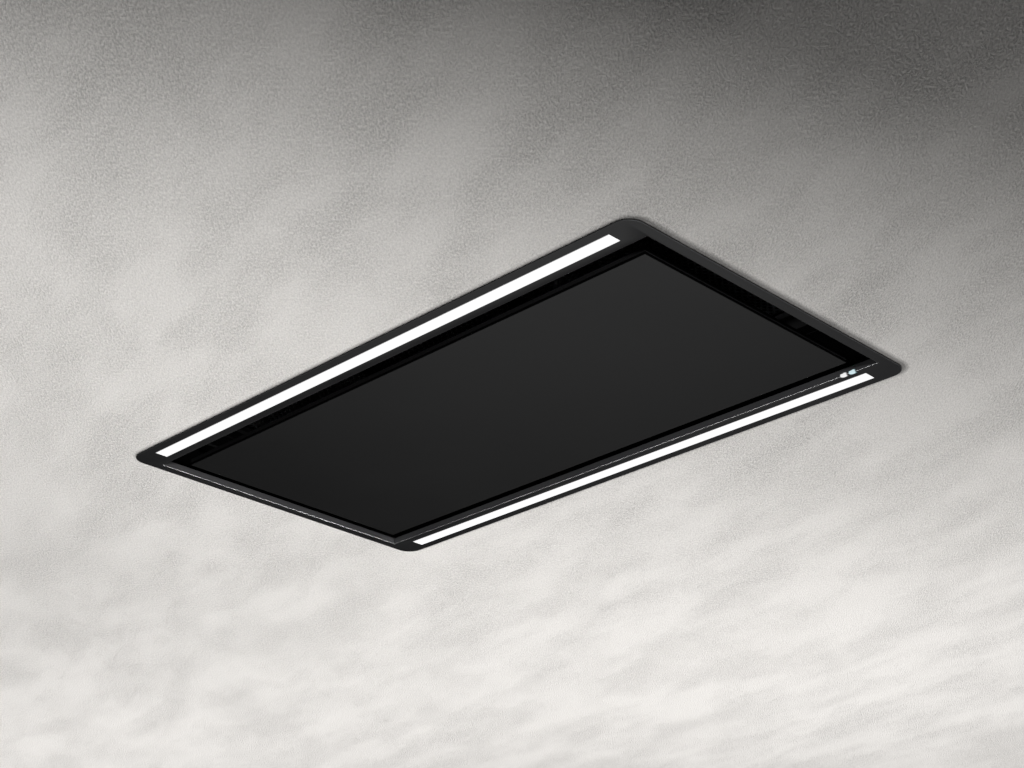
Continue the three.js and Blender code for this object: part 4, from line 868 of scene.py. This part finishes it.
def plaster():
    """Rough plaster: fine grain in patches drawn out by a trowel, with smoother ground between,
    and a soft shadow painted round the frame.
    """
    coat = Surface("plaster", (0.62, 0.6, 0.575), 0.95)
    coat.set("Specular IOR Level", 0.1)
    long_way = coat.stretched((1.0, 0.45, 1.0), 45)
    drawn = coat.stretched((1.0, 2.2, 1.0), TROWEL_TURN, long_way)
    patches = coat.spread(coat.noise(5.0, 5, 0.6, drawn), 0.5, 1, 0.4, 0.62)
    grain = coat.noise(GRAIN_SCALE, 2, 0.7, long_way)
    rough = coat.product(coat.spread(grain, -1, 1, 0.35, 0.65), patches)
    ground = coat.noise(GROUND_SCALE, 5, 0.55, drawn)
    tone = coat.add("ShaderNodeMath", operation="ADD")
    coat.link(coat.spread(ground, 0.48, 0.52), tone.inputs[0])
    coat.link(coat.spread(rough, -GRAIN_TONE, GRAIN_TONE, -1, 1), tone.inputs[1])
    color = coat.blend(tone.outputs["Value"], PLASTER_DEEP, PLASTER_PALE, 0, 1)
    # Painted shadow: the colour darkens towards the frame's outline.
    outline = off_the_frame(coat)
    shade = coat.spread(outline, PAINTED_SHADOW_DEPTH, 1, FRAME_CORNER, FRAME_CORNER + PAINTED_SHADOW_REACH)
    shaded = coat.add("ShaderNodeVectorMath", operation="SCALE")
    coat.link(color, shaded.inputs[0])
    coat.link(shade, shaded.inputs["Scale"])
    coat.link(shaded.outputs["Vector"], coat.shader.inputs["Base Color"])
    coat.relief(ground, GROUND_DEPTH, 0.5)
    coat.relief(rough, GRAIN_DEPTH, 1.0)
    return coat.material


def make_ceiling():
    """A pale sheet in the ceiling's plane with the hood's cut-out in it."""
    x, y = CUT_OUT
    reach = CEILING_REACH
    outer = [(-reach, -reach), (reach, -reach), (reach, reach), (-reach, reach)]
    inner = [(-x, -y), (x, -y), (x, y), (-x, y)]
    points = [(*p, 0) for p in outer + inner]
    faces = [(i, (i + 1) % 4, 4 + (i + 1) % 4, 4 + i) for i in range(4)]
    mesh = bpy.data.meshes.new("ceiling")
    mesh.from_pydata(points, [], faces)
    ceiling = bpy.data.objects.new("ceiling", mesh)
    scene.collection.objects.link(ceiling)
    mesh.materials.append(plaster())
    return ceiling


CEILING = make_ceiling()


# ---------------------------------------------------------------------------------------------
# Light
# ---------------------------------------------------------------------------------------------


def collected(name, pieces):
    group = bpy.data.collections.new(name)
    for piece in pieces:
        group.objects.link(piece)
    return group


def area_light(name, place, aim, size, power, lit=None, blocks=None):
    """A soft rectangle of light. Only "lit" receives it and only "blocks" shades it."""
    data = bpy.data.lights.new(name, "AREA")
    data.shape = "RECTANGLE"
    data.size, data.size_y = size
    data.energy = power
    light = bpy.data.objects.new(name, data)
    light.location = place
    light.rotation_euler = (Vector(aim) - Vector(place)).to_track_quat("-Z", "Y").to_euler()
    light.visible_camera = False
    scene.collection.objects.link(light)
    if lit:
        light.light_linking.receiver_collection = collected(f"{name}_lit", lit)
    if blocks:
        light.light_linking.blocker_collection = collected(f"{name}_blocks", blocks)


# The studio below the ceiling is dark but for one soft patch, which the panel reflects. Above the
# ceiling it grows lighter with height. The camera sees one plain colour in place of both.
PATCH = Vector((-0.438, 0.470, -0.766))
PATCH_EDGE = 0.885  # cosine of the angle from the patch's middle
PATCH_LEVELS = (0.008, 0.83)
UPPER_RISE = 0.3
UPPER_LEVELS = (0.0, 0.62)
SEEN_COLOR = (0.8, 0.79, 0.77, 1)


def make_world():
    world = bpy.data.worlds.new("studio")
    world.use_nodes = True
    scene.world = world
    tree = world.node_tree

    def node(kind, **inputs):
        made = tree.nodes.new(kind)
        for name, value in inputs.items():
            made.inputs[name.replace("_", " ")].default_value = value
        return made

    def ranged(value, start, end, levels):
        low, high = levels
        made = node("ShaderNodeMapRange", From_Min=start, From_Max=end, To_Min=low, To_Max=high)
        tree.links.new(value, made.inputs["Value"])
        return made.outputs["Result"]

    place = node("ShaderNodeTexCoord").outputs["Generated"]
    split = node("ShaderNodeSeparateXYZ")
    tree.links.new(place, split.inputs["Vector"])
    towards = node("ShaderNodeVectorMath")
    towards.operation = "DOT_PRODUCT"
    towards.inputs[1].default_value = PATCH
    tree.links.new(place, towards.inputs[0])
    total = node("ShaderNodeMath")
    total.operation = "ADD"
    patch = ranged(towards.outputs["Value"], PATCH_EDGE, 1.0, PATCH_LEVELS)
    upper = ranged(split.outputs["Z"], 0.0, UPPER_RISE, UPPER_LEVELS)
    tree.links.new(patch, total.inputs[0])
    tree.links.new(upper, total.inputs[1])
    seen = node("ShaderNodeMix")
    seen.data_type = "RGBA"
    seen.inputs["B"].default_value = SEEN_COLOR
    tree.links.new(total.outputs["Value"], seen.inputs["A"])
    tree.links.new(node("ShaderNodeLightPath").outputs["Is Camera Ray"], seen.inputs["Factor"])
    tree.links.new(seen.outputs["Result"], tree.nodes["Background"].inputs["Color"])


# Name, place, aim, size in metres and power in watts of each light.
CEILING_LIGHTS = (
    ("ceiling_light_high", (0.1, 1.01, -2.58), (-2.39, 3.8, 0), (0.8, 0.8), 114),
    ("ceiling_light_far", (-2.51, 0.48, -1.2), (-0.85, 0.8, 0), (0.6, 0.6), 14.9),
    ("ceiling_light_near", (0.36, -0.81, -1.29), (-4.42, 0.67, 0), (0.6, 0.6), 26),
)
FRAME_LIGHTS = (
    ("lip_light", (2.69, -0.98, -0.35), (-0.48, 0, 0), (0.5, 0.2), 250),
    ("end_fold_light", (0.75, 1.66, -2.1), (-0.48, 1.66, 0), (1.2, 0.6), 235),
    ("side_fold_light", (-1.35, -0.95, -1.95), (-1.35, 0.23, 0), (2.0, 0.6), 170),
)
REAR_LIGHT = ("rear_light", (2.0, -1.7, -1.3), (0, 0, 0), (3.0, 2.0), 9)
SLOT_LIGHT = ("slot_light", (2.69, -0.98, -0.35), (0.455, 0, 0), (0.5, 0.2), 75)
INNER_LIGHT = ("inner_light", (0, 0, -2.2), (0, 0, 0), (0.6, 0.4), 22)
UPPER_LIGHTS = (
    ("upper_light", (2.3, -2.7, 1.5), (0, 0, 0.1), (2.5, 1.8), 50),
    ("upper_fill", (-2.9, 1.9, 1.5), (0, 0, 0.1), (2.5, 1.8), 26),
)
OUTER_SLOTS = ("coated_steel", "dark_panel", "opal_diffuser", "foam")


def make_lights():
    """The lamps. Only the two upper ones light every piece."""
    parts = frame["record"]["subparts"]
    inside = [nodes[part["node"]] for part in parts if part["material_slot"] not in OUTER_SLOTS]
    inside += [piece for piece in bpy.data.objects if piece.name.startswith("expanded_mesh")]
    for light in CEILING_LIGHTS:
        area_light(*light, lit=[CEILING])
    for light in FRAME_LIGHTS:
        area_light(*light, lit=[FRAME_PIECE], blocks=[FRAME_PIECE])
    area_light(*REAR_LIGHT, lit=[nodes["panel_face"], FRAME_PIECE])
    area_light(*SLOT_LIGHT, lit=[nodes["panel_tray"]])
    area_light(*INNER_LIGHT, lit=inside)
    for light in UPPER_LIGHTS:
        area_light(*light)


make_world()
make_lights()
scene.view_settings.view_transform = "Standard"


# ---------------------------------------------------------------------------------------------
# Finish
# ---------------------------------------------------------------------------------------------


def corners(box):
    return [list(corner) for corner in box]
